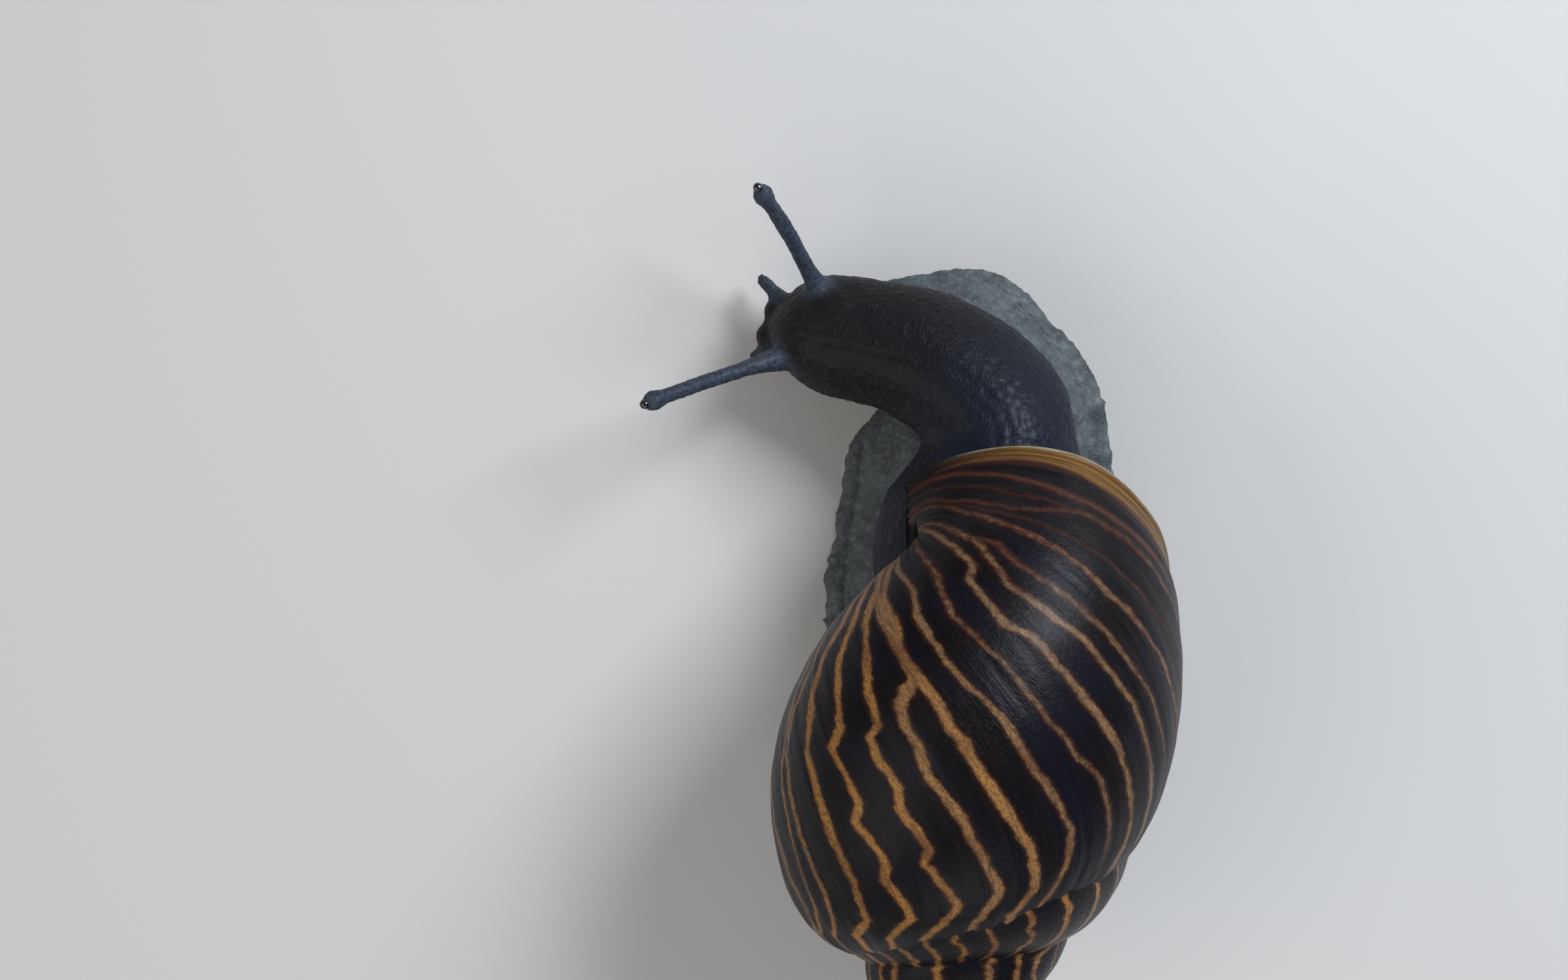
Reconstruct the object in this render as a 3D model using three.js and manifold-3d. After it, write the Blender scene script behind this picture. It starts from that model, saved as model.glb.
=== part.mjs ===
// A crawling zebra snail at life size: a right-handed, tall-spired striped shell carried by a long foot that turns
// left under the neck, with the head stretched out and all four tentacles showing.
//
// Units are millimetres. +Z is up, +Y is the way the hind body points, +X is the snail's right, and the sole lies
// on z = 0. Neighbouring pieces stand GAP apart.
import * as THREE from "three";
import { mergeVertices } from "three/addons/utils/BufferGeometryUtils.js";
import Module from "manifold-3d";

const wasm = await Module();
wasm.setup();
const TAU = 2 * Math.PI;
const GAP = 0.3;
const MOUTH_SIDES = 24; // facets round the mouth oval
const FOOT_SIDES = 12; // facets across the back of the foot
const NECK_SIDES = 14; // facets round the neck
const STATION_STEPS = 2; // lengths of facet between two stations of the foot or neck
const SEAM = 0.022; // how far each turn's end is kept clear of the next turn's start, radians of growth
const SMOOTHING = 0.06; // how far a facet may stray when small facets are joined
const PLUG_FIT = 0.955; // size of the mantle beside the mouth that it fills
const LIP_END = 8; // distance from the axis at which the lip stops
const ORIGIN = { x: -6.37, y: -11.04 }; // middle of the snail's box, in the frame that the sizes below use

// ---------------------------------------------------------------- driving dimensions
// The shell grows as a spiral cone: each turn is GROWTH times the one before. Its mouth outline is an oval.
const SHELL = {
  growth: 1.742, // size ratio of one turn to the turn before
  turns: 5.2, // turns counted back from the lip to the rounded tip
  ovalWide: 20.8, // half width of the mouth oval
  ovalTall: 28.8, // half height of the mouth oval
  ovalFromAxis: 11.7, // axis to the oval's centre, at the lip
  ovalBelowPole: 77.5, // the spiral's pole to the oval's centre along the axis, at the lip
  ovalLean: 0.241, // lean of the oval towards the axis at its base, radians
  ovalEgg: -0.093, // how much fuller the oval is near the suture
  lipSweep: 0.326, // how far the lip's middle runs ahead of its ends, radians
  lipSlant: 0.597, // how far the lip's suture end runs ahead of its base end, radians
  spireWiden: 0.434, // how much wider the spire's turns are than the spiral alone makes them
  spireDrop: 13, // how far the spire's turns stand below their place on the spiral
  spireFrom: 0.44, // turns back from the lip at which the spire's own shape begins
  spireEase: 0.9, // turns over which it comes in
  spireLean: 0.5, // how far the spire's oval leans back from the body whorl's, radians
  leanFrom: 0.8, // turns back from the lip at which that lean begins
  leanEase: 1, // turns over which it comes in
  axisRadius: 0.45, // closest that the whorls come to the axis, at the lip
  columella: 3.2, // radius of the pillar left standing in the mouth
  wall: 1.2, // thickness of the shell at its mouth
  mouthDepth: 0.36, // depth of the open mouth, radians of growth
  mantleFlat: 0.7, // share of the mouth's depth that the mantle fills squarely
  mantleRound: 30, // how fast the mantle rounds over in front of that, millimetres for a share of 1
  lipBand: 0.075, // width of the pale lip, radians of growth
  tipRadius: 2.7, // rounded first whorls
  curl: { x: -5.4, y: 0.2, z: 3.5 }, // how far the base of the mouth curls round the axis, in the shell's own frame
  curlRound: 2.4, // place round the mouth oval at which the curl begins, radians
  curlRoundEase: 1.05, // how far round the oval it takes to come in, and to go again
  curlRoundEnd: 5.05, // place round the oval at which it begins to go
  curlGrowth: 2, // growth angle before the lip at which it begins
  curlGrowthEnd: 0.5, // growth angle before the lip from which it is whole
};
const SHELL_SEAT = { x: 0.6, y: -83.4, z: 32.7, heading: 1.51, pitch: 87.06, roll: 3.8 }; // pole, and degrees

// Each station of the foot is a line across it: its left and right edges in plan, and its height in the middle.
const FOOT = [
  { left: [0.6, -78.4], right: [1.9, -78.4], top: 1.3 },
  { left: [-3, -72.5], right: [5.2, -72.5], top: 4.2 },
  { left: [-7.2, -61], right: [9.8, -61], top: 7.2 },
  { left: [-11.2, -45], right: [14.6, -45], top: 10.2 },
  { left: [-15, -27], right: [19.2, -27], top: 12.2 },
  { left: [-17.8, -5], right: [22.8, -6], top: 12.8 },
  { left: [-15.7, 9], right: [24.3, 11], top: 12.4 },
  { left: [-14.5, 18], right: [22, 26], top: 11.2 },
  { left: [-11.2, 22.4], right: [16.2, 35], top: 9.8 },
  { left: [-9, 25.6], right: [6.5, 43], top: 8.2 },
  { left: [-10.8, 28], right: [-4.6, 43], top: 6.8 },
  { left: [-15, 28.8], right: [-12, 41.2], top: 5.6 },
  { left: [-20, 30.2], right: [-18.4, 41.2], top: 4.6 },
  { left: [-23.2, 32.8], right: [-22.4, 39.8], top: 3.2 },
  { left: [-24.4, 35.7], right: [-24.2, 37.1], top: 1.4 },
];
const FOOT_EDGE = 2.2; // thickness of the foot's rim
const SOLE_SHARE = 0.955; // width of the sole beside that of the foot's rim
const FOOT_PIECES = { foot_tail: [0, 3], foot_rear: [3, 5], foot_middle: [5, 7.5], foot_front: [7.5, 14] };

// Each station of the neck and head is the same line, with the heights of its underside and its back.
const NECK = [
  { left: [-1, -22], right: [15, -23], low: 2, top: 8 },
  { left: [-8, -9], right: [20, -9], low: 2, top: 17 },
  { left: [-11, 3], right: [20.4, 4], low: 2, top: 24.5 },
  { left: [-9.6, 12.4], right: [18.8, 13], low: 2, top: 28 },
  { left: [-5, 19], right: [17, 20.6], low: 2, top: 28.9 },
  { left: [-4.8, 21.5], right: [15, 28.6], low: 2, top: 27.6 },
  { left: [-7.8, 23.6], right: [8.7, 35.8], low: 2, top: 25.4 },
  { left: [-10.8, 25], right: [-0.5, 40.6], low: 2.2, top: 23.1 },
  { left: [-14.6, 25.9], right: [-9, 42.5], low: 2.4, top: 20.8 },
  { left: [-19, 27], right: [-16, 43.2], low: 2.8, top: 18.7 },
  { left: [-22.4, 29.3], right: [-20.4, 42.4], low: 3.4, top: 16.8 },
  { left: [-24.7, 32.6], right: [-23.6, 39.8], low: 4.6, top: 14 },
  { left: [-25.7, 35.3], right: [-25.4, 37.2], low: 7.4, top: 10.6 },
];
const NECK_PIECES = { neck_root: [0, 4.6], neck_rear: [4.6, 6.6], neck_front: [6.6, 8.6], head: [8.6, 12] };

const UPPER_TENTACLES = {
  left: [[-22.6, 32.3, 12.4], [-32.6, 29.6, 18.2], [-38.2, 27.9, 21.8], [-42.2, 26.6, 24.6]],
  right: [[-18.2, 40.6, 12.8], [-21.8, 47.4, 18.6], [-23.8, 50.9, 22.2], [-26.9, 55.6, 26.4]],
};
const LOWER_TENTACLES = {
  left: [[-23.6, 33.4, 7.2], [-26.4, 32.3, 5.6], [-28.4, 31.2, 4.4]],
  right: [[-23, 39.3, 7.2], [-25.4, 41.2, 5.6], [-27, 43, 4.4]],
};
const TENTACLE = { root: 2.5, shaft: 1.05, knob: 1.45, eye: 0.72, lowerRoot: 1.3, lowerTip: 0.8 };
const MOUTH = { at: [-25.1, 36.3, 6.3], lobe: [1.9, 2.1, 2.2], apart: 3.6, heading: 163 };

// ---------------------------------------------------------------- materials
const paint = (color, roughness) => new THREE.MeshStandardMaterial({ color, roughness, metalness: 0 });
const MATERIALS = {
  shell: paint(0x2c211d, 0.32),
  apex: paint(0x6b4f38, 0.45),
  lip: paint(0xc99a55, 0.4),
  neckSkin: paint(0x23252b, 0.5),
  footSkin: paint(0x6e7778, 0.55),
  mantle: paint(0x8a7f6a, 0.45),
  eye: paint(0x050506, 0.15),
};

// ---------------------------------------------------------------- solids from rings of points
/** A closed geometry through rings of equally many points, with each end closed to a given middle point. */
function loft(rings, startCentre, endCentre) {
  const count = rings[0].length;
  const points = [...rings.flat(), startCentre, endCentre];
  const start = points.length - 2;
  const faces = [];
  for (let i = 0; i + 1 < rings.length; i++)
    for (let j = 0; j < count; j++) {
      const k = (j + 1) % count;
      const [a, b, c, d] = [i * count + j, i * count + k, (i + 1) * count + k, (i + 1) * count + j];
      faces.push(a, b, c, a, c, d);
    }
  const last = (rings.length - 1) * count;
  for (let j = 0; j < count; j++) {
    const k = (j + 1) % count;
    faces.push(start, k, j, start + 1, last + j, last + k);
  }
  const geometry = new THREE.BufferGeometry().setFromPoints(points);
  geometry.setIndex(faces);
  return geometry;
}

/** A manifold solid from a closed geometry, turned so that its faces point out. */
function solid(geometry) {
  const bare = geometry.clone();
  bare.deleteAttribute("normal");
  bare.deleteAttribute("uv");
  const merged = mergeVertices(bare, 1e-4);
  const vertProperties = new Float32Array(merged.attributes.position.array);
  const triVerts = new Uint32Array(merged.index.array);
  const turned = (indices) => indices.map((_, i) => indices[i - (i % 3) + 2 - (i % 3)]);
  const made = new wasm.Manifold(new wasm.Mesh({ numProp: 3, vertProperties, triVerts }));
  if (made.volume() > 0) return made;
  return new wasm.Manifold(new wasm.Mesh({ numProp: 3, vertProperties, triVerts: turned(triVerts) }));
}

/** The biggest connected body of a solid. */
function biggest(body) {
  return body.decompose().reduce((best, piece) => (piece.volume() > best.volume() ? piece : best));
}

function join(bodies) {
  return bodies.reduce((all, body) => all.add(body));
}

/** A solid made smaller about the middle of its box. */
function shrunk(body, share) {
  const { min, max } = body.boundingBox();
  const middle = min.map((low, i) => (low + max[i]) / 2);
  return body
    .translate(middle.map((value) => -value))
    .scale(share)
    .translate(middle);
}

/** A named mesh from a solid. */
function piece(name, body, material) {
  const mesh = biggest(body.simplify(SMOOTHING)).getMesh();
  const geometry = new THREE.BufferGeometry();
  geometry.setAttribute("position", new THREE.BufferAttribute(new Float32Array(mesh.vertProperties), 3));
  geometry.setIndex(new THREE.BufferAttribute(new Uint32Array(mesh.triVerts), 1));
  geometry.computeVertexNormals();
  const made = new THREE.Mesh(geometry, material);
  made.name = name;
  return made;
}

// ---------------------------------------------------------------- shell
/** How far something has come in at growth angle t, from 0 at the lip to 1 in the spire. */
function comeIn(t, from, ease) {
  return THREE.MathUtils.smoothstep(-t / TAU, from, from + ease);
}

/** How much the mouth's base curls at growth angle t and place phi round the mouth oval, 0 to 1. */
function curlAt(t, phi) {
  const { smoothstep } = THREE.MathUtils;
  const round = ((phi % TAU) + TAU) % TAU;
  const begins = smoothstep(round, SHELL.curlRound, SHELL.curlRound + SHELL.curlRoundEase);
  const ends = smoothstep(round, SHELL.curlRoundEnd, SHELL.curlRoundEnd + SHELL.curlRoundEase);
  return begins * (1 - ends) * smoothstep(t, -SHELL.curlGrowth, -SHELL.curlGrowthEnd);
}

/** A point of the shell's surface: growth angle t (0 at the lip), place phi round the mouth oval. */
function shellPoint(t, phi, { grow = 0, least = SHELL.axisRadius } = {}) {
  const size = SHELL.growth ** (t / TAU);
  const wide = SHELL.ovalWide + grow / size;
  const tall = SHELL.ovalTall + grow / size;
  const across = wide * Math.sin(phi) * (1 + SHELL.ovalEgg * Math.cos(phi));
  const along = tall * Math.cos(phi);
  const lean = SHELL.ovalLean - SHELL.spireLean * comeIn(t, SHELL.leanFrom, SHELL.leanEase);
  const radius = SHELL.ovalFromAxis + Math.cos(lean) * across + Math.sin(lean) * along;
  const height = -SHELL.ovalBelowPole - Math.sin(lean) * across + Math.cos(lean) * along;
  const turn = -(t + SHELL.lipSweep * Math.sin(phi) + SHELL.lipSlant * Math.cos(phi));
  const spire = comeIn(t, SHELL.spireFrom, SHELL.spireEase);
  const widened = size * (1 + SHELL.spireWiden * spire);
  const r = widened * Math.max(radius, least - Math.max(0, grow) / size, 0.02);
  const curl = new THREE.Vector3(SHELL.curl.x, SHELL.curl.y, SHELL.curl.z).multiplyScalar(curlAt(t, phi));
  return new THREE.Vector3(r * Math.cos(turn), r * Math.sin(turn), size * height - SHELL.spireDrop * spire).add(curl);
}

/** A length of whorl between two growth angles; shape gives the growth in thickness at each share of the length. */
function whorl(from, to, steps, sides, { grow = () => 0, least } = {}) {
  const rings = [];
  const centres = [];
  for (let i = 0; i <= steps; i++) {
    const share = i / steps;
    const t = from + (to - from) * share;
    const options = { grow: grow(share), least };
    rings.push(Array.from({ length: sides }, (_, j) => shellPoint(t, (TAU * j) / sides, options)));
    centres.push(rings[i].reduce((sum, p) => sum.add(p), new THREE.Vector3()).divideScalar(sides));
  }
  return solid(loft(rings, centres[0], centres[steps]));
}

/** A whole turn of whorl, made as two halves because its end lies over its start. */
function fullTurn(from, to, steps, sides, options) {
  const middle = (from + to) / 2;
  const first = whorl(from, middle, steps / 2, sides, options);
  return first.add(whorl(middle, to, steps / 2, sides, options));
}

/** Turns something from the shell's own frame (apex at the origin, +z out of the apex) to its seat. */
function seatMatrix() {
  const about = (axis, degrees) =>
    new THREE.Matrix4().makeRotationAxis(axis, THREE.MathUtils.degToRad(degrees));
  const up = new THREE.Vector3(0, 0, 1);
  const side = new THREE.Vector3(1, 0, 0);
  return new THREE.Matrix4()
    .makeTranslation(SHELL_SEAT.x, SHELL_SEAT.y, SHELL_SEAT.z)
    .multiply(about(up, SHELL_SEAT.heading))
    .multiply(about(side, SHELL_SEAT.pitch))
    .multiply(about(up, SHELL_SEAT.roll));
}
const seated = (body) => body.transform(seatMatrix().elements);

/** The rounded tip and its first turn. */
function apexBody(grow) {
  const first = -TAU * SHELL.turns;
  const size = SHELL.growth ** -SHELL.turns;
  const ball = new THREE.SphereGeometry(SHELL.tipRadius + grow, 12, 8);
  ball.translate(0, 0, -SHELL.ovalBelowPole * size - SHELL.spireDrop);
  const last = -TAU * 4.1 + (grow > 0 ? SEAM : 0);
  return solid(ball).add(fullTurn(first, last, 12, 10, { grow: () => grow }));
}

/** The shell's pieces, in its own frame, youngest last. Each later turn is cut clear of the turns before it. */
function shellBodies() {
  const step = (t) => GAP / (SHELL.ovalWide * SHELL.growth ** (t / TAU)); // GAP as an angle at growth angle t
  const spans = [
    { name: "shell_upper_spire", from: -4.1, to: -3, steps: 14, sides: 10 },
    { name: "shell_lower_spire", from: -3, to: -2, steps: 16, sides: 12 },
    { name: "shell_penultimate_whorl", from: -2, to: -1, steps: 22, sides: 14 },
    { name: "shell_body_whorl", from: -1, to: -SHELL.lipBand / TAU, steps: 20, sides: MOUTH_SIDES },
  ];
  const made = [{ name: "shell_apex", body: apexBody(0) }];
  let older = apexBody(GAP);
  let beforeLast = older;
  for (const { name, from, to, steps, sides } of spans) {
    const start = TAU * from + step(TAU * from);
    const body = biggest(fullTurn(start, TAU * to, steps, sides).subtract(older));
    made.push({ name, body });
    beforeLast = older;
    older = older.add(fullTurn(start, TAU * to + SEAM, steps, sides, { grow: () => GAP }));
  }
  return { made, step, beforeLast };
}

/** The open mouth, the lip round it, and everything that the flesh has to stay clear of. */
function shellMouth({ made, step, beforeLast }) {
  const inside = { grow: () => -SHELL.wall, least: SHELL.columella };
  const turnBefore = (grow) => {
    const early = whorl(-TAU * 1.5, -TAU * 0.98, 14, MOUTH_SIDES, { grow: () => grow });
    return early.add(whorl(-TAU, -TAU * 0.4, 12, MOUTH_SIDES, { grow: () => grow }));
  };
  const earlier = beforeLast.add(turnBefore(GAP));
  const hollow = whorl(-SHELL.mouthDepth, 0.2, 9, MOUTH_SIDES, inside).subtract(turnBefore(SHELL.wall));
  const last = made[made.length - 1];
  last.body = biggest(last.body.subtract(hollow));
  const behindLip = whorl(-0.6, -SHELL.lipBand + 1.6 * step(0), 8, MOUTH_SIDES, { grow: () => 2 });
  const axle = (radius) => {
    const round = new THREE.CylinderGeometry(radius, radius, 2 * SHELL.ovalBelowPole, 20).rotateX(Math.PI / 2);
    return solid(round.translate(0, 0, -SHELL.ovalBelowPole));
  };
  const lip = whorl(-0.3, 0, 6, MOUTH_SIDES).subtract(join([hollow, earlier, behindLip, axle(LIP_END)]));
  const outer = whorl(-TAU * 0.45, step(0), 24, MOUTH_SIDES, { grow: () => GAP });
  const swell = (share) => -SHELL.wall - SHELL.mantleRound * Math.max(0, share - SHELL.mantleFlat) ** 2;
  const whole = whorl(-SHELL.mouthDepth, 0, 8, MOUTH_SIDES, { grow: swell, least: SHELL.columella });
  const pillar = axle(SHELL.columella + GAP);
  const plug = shrunk(whole, PLUG_FIT).subtract(turnBefore(SHELL.wall + GAP)).subtract(pillar);
  return { lip, plug, clear: earlier.add(outer) };
}

// ---------------------------------------------------------------- flesh
/** A smooth curve through station values at parameter u, counted in stations. */
function through(values, u) {
  const i = Math.min(Math.max(Math.floor(u), 0), values.length - 2);
  const w = u - i;
  const at = (k) => values[Math.min(Math.max(k, 0), values.length - 1)];
  const [a, b, c, d] = [at(i - 1), at(i), at(i + 1), at(i + 2)];
  return 0.5 * (2 * b + (c - a) * w + (2 * a - 5 * b + 4 * c - d) * w * w + (3 * b - a - 3 * c + d) * w ** 3);
}

/** The line across the body at u: its left and right ends in plan, and the heights stated there. */
function lineAcross(stations, u) {
  const value = (pick) => through(stations.map(pick), u);
  return {
    left: new THREE.Vector3(value((s) => s.left[0]), value((s) => s.left[1]), 0),
    right: new THREE.Vector3(value((s) => s.right[0]), value((s) => s.right[1]), 0),
    top: value((s) => s.top),
    low: value((s) => s.low ?? 0),
  };
}

/** The foot's section: a flat sole, a thin rounded rim, and a back that rises to the middle. v runs -1 to 1. */
function footHeight(v, top, edge) {
  const rim = edge * Math.sqrt(Math.max(0, 1 - Math.abs(v) ** 7));
  const hump = (top - edge) * Math.cos((Math.PI / 2) * Math.min(1, Math.abs(v) / 0.9)) ** 1.5;
  return rim + Math.max(0, hump);
}

function footRing(u, sides, grow) {
  const line = lineAcross(FOOT, u);
  const half = line.right.clone().sub(line.left).multiplyScalar(0.5);
  const middle = line.left.clone().add(half);
  const stretch = 1 + grow / half.length();
  const edge = Math.min(FOOT_EDGE, line.top * 0.7);
  const ring = [];
  for (let j = 0; j <= sides; j++) {
    const v = -Math.cos((Math.PI * j) / sides);
    const z = footHeight(v, line.top, edge) + grow;
    ring.push(middle.clone().addScaledVector(half, v * stretch).setZ(z));
  }
  ring[0].setZ(edge * 0.45);
  ring[sides].setZ(edge * 0.45);
  ring.push(middle.clone().addScaledVector(half, SOLE_SHARE * stretch).setZ(-grow));
  ring.push(middle.clone().addScaledVector(half, -SOLE_SHARE * stretch).setZ(-grow));
  return { ring, centre: middle.setZ(edge * 0.4) };
}

function neckRing(u, sides, grow) {
  const line = lineAcross(NECK, u);
  const half = line.right.clone().sub(line.left).multiplyScalar(0.5);
  const middle = line.left.clone().add(half).setZ((line.top + line.low) / 2);
  const tall = (line.top - line.low) / 2 + grow;
  const stretch = 1 + grow / half.length();
  const ring = Array.from({ length: sides }, (_, j) => {
    const angle = (TAU * j) / sides;
    const point = middle.clone().addScaledVector(half, stretch * Math.cos(angle));
    return point.setZ(middle.z + tall * Math.sin(angle));
  });
  return { ring, centre: middle };
}

/** One length of foot or neck between two stations, its ends drawn back by half the gap where it has a neighbour. */
function bodyLength(ringAt, stations, [from, to], steps, sides, grow = 0) {
  const made = Array.from({ length: steps + 1 }, (_, i) => ringAt(from + ((to - from) * i) / steps, sides, grow));
  const drawIn = (end, u, sign) => {
    const line = lineAcross(stations, u);
    const across = line.right.clone().sub(line.left).normalize();
    const ahead = new THREE.Vector3(-across.y, across.x, 0).multiplyScalar((sign * GAP) / 2);
    [...end.ring, end.centre].forEach((point) => point.add(ahead));
  };
  if (grow === 0 && from > 0) drawIn(made[0], from, 1);
  if (grow === 0 && to < stations.length - 1) drawIn(made[steps], to, -1);
  return solid(loft(made.map((m) => m.ring), made[0].centre, made[steps].centre));
}

/** A tapering tube along a curve through points, with a rounded far end. */
function taper(points, radiusAt, steps, sides) {
  const curve = new THREE.CatmullRomCurve3(points.map((p) => new THREE.Vector3(...p)));
  const frames = curve.computeFrenetFrames(steps);
  const rings = frames.normals.map((normal, i) => {
    const centre = curve.getPointAt(i / steps);
    return Array.from({ length: sides }, (_, j) => {
      const angle = (TAU * j) / sides;
      return centre
        .clone()
        .addScaledVector(normal, radiusAt(i / steps) * Math.cos(angle))
        .addScaledVector(frames.binormals[i], radiusAt(i / steps) * Math.sin(angle));
    });
  });
  return solid(loft(rings, curve.getPointAt(0), curve.getPointAt(1)));
}

/** Radius of an upper tentacle: a wide root, a slim shaft and a round knob. */
function upperRadius(share, grow = 0) {
  const root = (TENTACLE.root - TENTACLE.shaft) * Math.exp(-share * 9);
  const knob = (TENTACLE.knob - TENTACLE.shaft) * Math.exp(-(((share - 0.93) / 0.06) ** 2));
  const end = Math.sqrt(Math.max(0.02, 1 - (Math.max(0, share - 0.93) / 0.07) ** 2));
  return (TENTACLE.shaft + root + knob) * end + grow;
}

const lowerRadius = (share, grow = 0) => {
  const end = Math.sqrt(Math.max(0.03, 1 - (Math.max(0, share - 0.75) / 0.25) ** 2));
  return (TENTACLE.lowerRoot + (TENTACLE.lowerTip - TENTACLE.lowerRoot) * share) * end + grow;
};

/** The part of a curve between two shares of its length, as points. */
function stretchOf(points, from, to, count = 6) {
  const curve = new THREE.CatmullRomCurve3(points.map((p) => new THREE.Vector3(...p)));
  const share = (i) => from + ((to - from) * i) / (count - 1);
  return Array.from({ length: count }, (_, i) => curve.getPointAt(share(i)).toArray());
}

function upperTentacle(side, head) {
  const points = UPPER_TENTACLES[side];
  const length = new THREE.CatmullRomCurve3(points.map((p) => new THREE.Vector3(...p))).getLength();
  const half = GAP / 2 / length;
  const spans = { root: [0, 0.42], shaft: [0.42, 0.84], knob: [0.84, 1] };
  const tip = new THREE.Vector3(...points[points.length - 1]);
  const ball = (radius) => solid(new THREE.SphereGeometry(radius, 8, 6).translate(...tip.toArray()));
  const pieces = Object.entries(spans).map(([name, [from, to]]) => {
    const start = from + (from > 0 ? half : 0);
    const end = to - (to < 1 ? half : 0);
    const radiusAt = (share) => upperRadius(start + (end - start) * share);
    let body = taper(stretchOf(points, start, end), radiusAt, name === "knob" ? 6 : 4, 8);
    if (name === "root") body = body.subtract(head);
    if (name === "knob") body = body.subtract(ball(TENTACLE.eye + GAP * 0.5));
    return piece(`${side}_upper_tentacle_${name}`, body, MATERIALS.neckSkin);
  });
  return [...pieces, piece(`${side}_eye`, ball(TENTACLE.eye), MATERIALS.eye)];
}

/** The two soft lobes beside the mouth, with the slit between them. */
function mouthLobes(grow) {
  const lobes = [-1, 1].map((side) => {
    const ball = new THREE.SphereGeometry(1, 8, 6);
    ball.scale(...MOUTH.lobe.map((size) => size + grow));
    ball.translate(0, (side * MOUTH.apart) / 2, 0);
    return solid(ball);
  });
  const bridge = solid(new THREE.BoxGeometry(1.6 + grow, MOUTH.apart, 2 + grow).translate(-0.9, 0, 0.3));
  const placed = new THREE.Matrix4()
    .makeTranslation(...MOUTH.at)
    .multiply(new THREE.Matrix4().makeRotationZ(THREE.MathUtils.degToRad(MOUTH.heading)));
  return join([...lobes, bridge]).transform(placed.elements);
}

// ---------------------------------------------------------------- the snail
function shellGroup(made, mouth) {
  const group = new THREE.Group();
  for (const { name, body } of made) {
    group.add(piece(name, seated(body), name === "shell_apex" ? MATERIALS.apex : MATERIALS.shell));
  }
  group.add(piece("shell_lip", seated(mouth.lip), MATERIALS.lip));
  return group;
}

function fleshGroup(mouth) {
  const group = new THREE.Group();
  const clear = seated(mouth.clear);
  const lowerAll = Object.keys(LOWER_TENTACLES).map((side) =>
    taper(LOWER_TENTACLES[side], (share) => lowerRadius(share, 1.3 * GAP), 4, 8));
  const footGrown = bodyLength(footRing, FOOT, [0, FOOT.length - 1], 36, FOOT_SIDES, GAP);
  const neckGrown = bodyLength(neckRing, NECK, [8, NECK.length - 1], 10, NECK_SIDES, GAP);
  for (const [name, span] of Object.entries(FOOT_PIECES)) {
    const steps = Math.ceil((span[1] - span[0]) * STATION_STEPS);
    const body = bodyLength(footRing, FOOT, span, steps, FOOT_SIDES).subtract(clear);
    group.add(piece(name, body, MATERIALS.footSkin));
  }
  for (const [name, span] of Object.entries(NECK_PIECES)) {
    const steps = Math.ceil((span[1] - span[0]) * STATION_STEPS);
    let body = bodyLength(neckRing, NECK, span, steps, NECK_SIDES).subtract(clear).subtract(footGrown);
    if (name === "head") body = body.subtract(mouthLobes(GAP)).subtract(join(lowerAll));
    group.add(piece(name, body, MATERIALS.neckSkin));
  }
  group.add(piece("mantle_collar", seated(mouth.plug), MATERIALS.mantle));
  const lobes = mouthLobes(0).subtract(footGrown).subtract(join(lowerAll));
  group.add(piece("mouth_lobes", lobes, MATERIALS.neckSkin));
  for (const side of Object.keys(UPPER_TENTACLES)) {
    upperTentacle(side, neckGrown).forEach((part) => group.add(part));
    const lower = taper(LOWER_TENTACLES[side], lowerRadius, 4, 8).subtract(footGrown);
    group.add(piece(`${side}_lower_tentacle`, lower, MATERIALS.neckSkin));
  }
  return group;
}

const shell = shellBodies();
const mouth = shellMouth(shell);
const snail = new THREE.Group();
snail.name = "zebra_snail";
snail.add(shellGroup(shell.made, mouth), fleshGroup(mouth));
snail.position.set(-ORIGIN.x, -ORIGIN.y, 0);

export default snail;
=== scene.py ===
"""A crawling zebra snail at life size: a dark shell with tawny zigzag stripes on a wet, black-necked body.

Lengths are millimetres until a mesh is made, and metres from there on. +Z is up. The tail lies towards -Y,
and the neck turns from +Y towards -X, which is the snail's left. Growth angles of the shell run back from 0
at the lip, so older shell is more negative.
"""
import logging
import math
from collections.abc import Iterator
from contextlib import contextmanager
from dataclasses import dataclass, field
from enum import Enum

import bmesh
import bpy
import numpy as np
from mathutils import Matrix, Vector, kdtree


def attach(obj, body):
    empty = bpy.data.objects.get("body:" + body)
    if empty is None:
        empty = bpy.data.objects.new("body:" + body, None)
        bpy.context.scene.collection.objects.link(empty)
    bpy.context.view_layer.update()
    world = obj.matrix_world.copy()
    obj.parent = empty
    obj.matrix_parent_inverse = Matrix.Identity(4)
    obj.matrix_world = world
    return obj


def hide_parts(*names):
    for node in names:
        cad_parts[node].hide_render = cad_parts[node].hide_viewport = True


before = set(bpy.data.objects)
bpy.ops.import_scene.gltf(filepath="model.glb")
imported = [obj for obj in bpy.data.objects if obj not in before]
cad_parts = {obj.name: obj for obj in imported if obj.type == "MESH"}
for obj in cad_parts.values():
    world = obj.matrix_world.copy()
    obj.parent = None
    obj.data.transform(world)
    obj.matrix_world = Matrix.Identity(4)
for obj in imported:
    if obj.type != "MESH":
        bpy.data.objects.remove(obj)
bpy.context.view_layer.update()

log = logging.getLogger("snail")
logging.basicConfig(level=logging.INFO, format="%(message)s")

Array = np.ndarray
Colour = tuple[float, float, float]
Attributes = dict[str, Array]
TAU = 2 * math.pi
MM = 0.001
ORIGIN = np.array([6.37, 11.04, 0.0])  # from the frame that the sizes below use to the row frame
KNOTS = 1024  # values in a table of noise along a length
SPOTS = 8192  # values in a table of noise in space
SPREAD = np.array([73856093, 19349663, 83492791])  # primes that scatter neighbouring cells over such a table
STEP = 1e-3  # change of an angle, in radians, over which a slope of the shell is measured
TINY = 1e-9  # keeps a length that is divided by from being 0
NO_STRIPE = -9.0  # millimetres inside a stripe, where there is none near
AROUND = 25.0  # millimetres round the mouth oval for each radian


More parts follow.
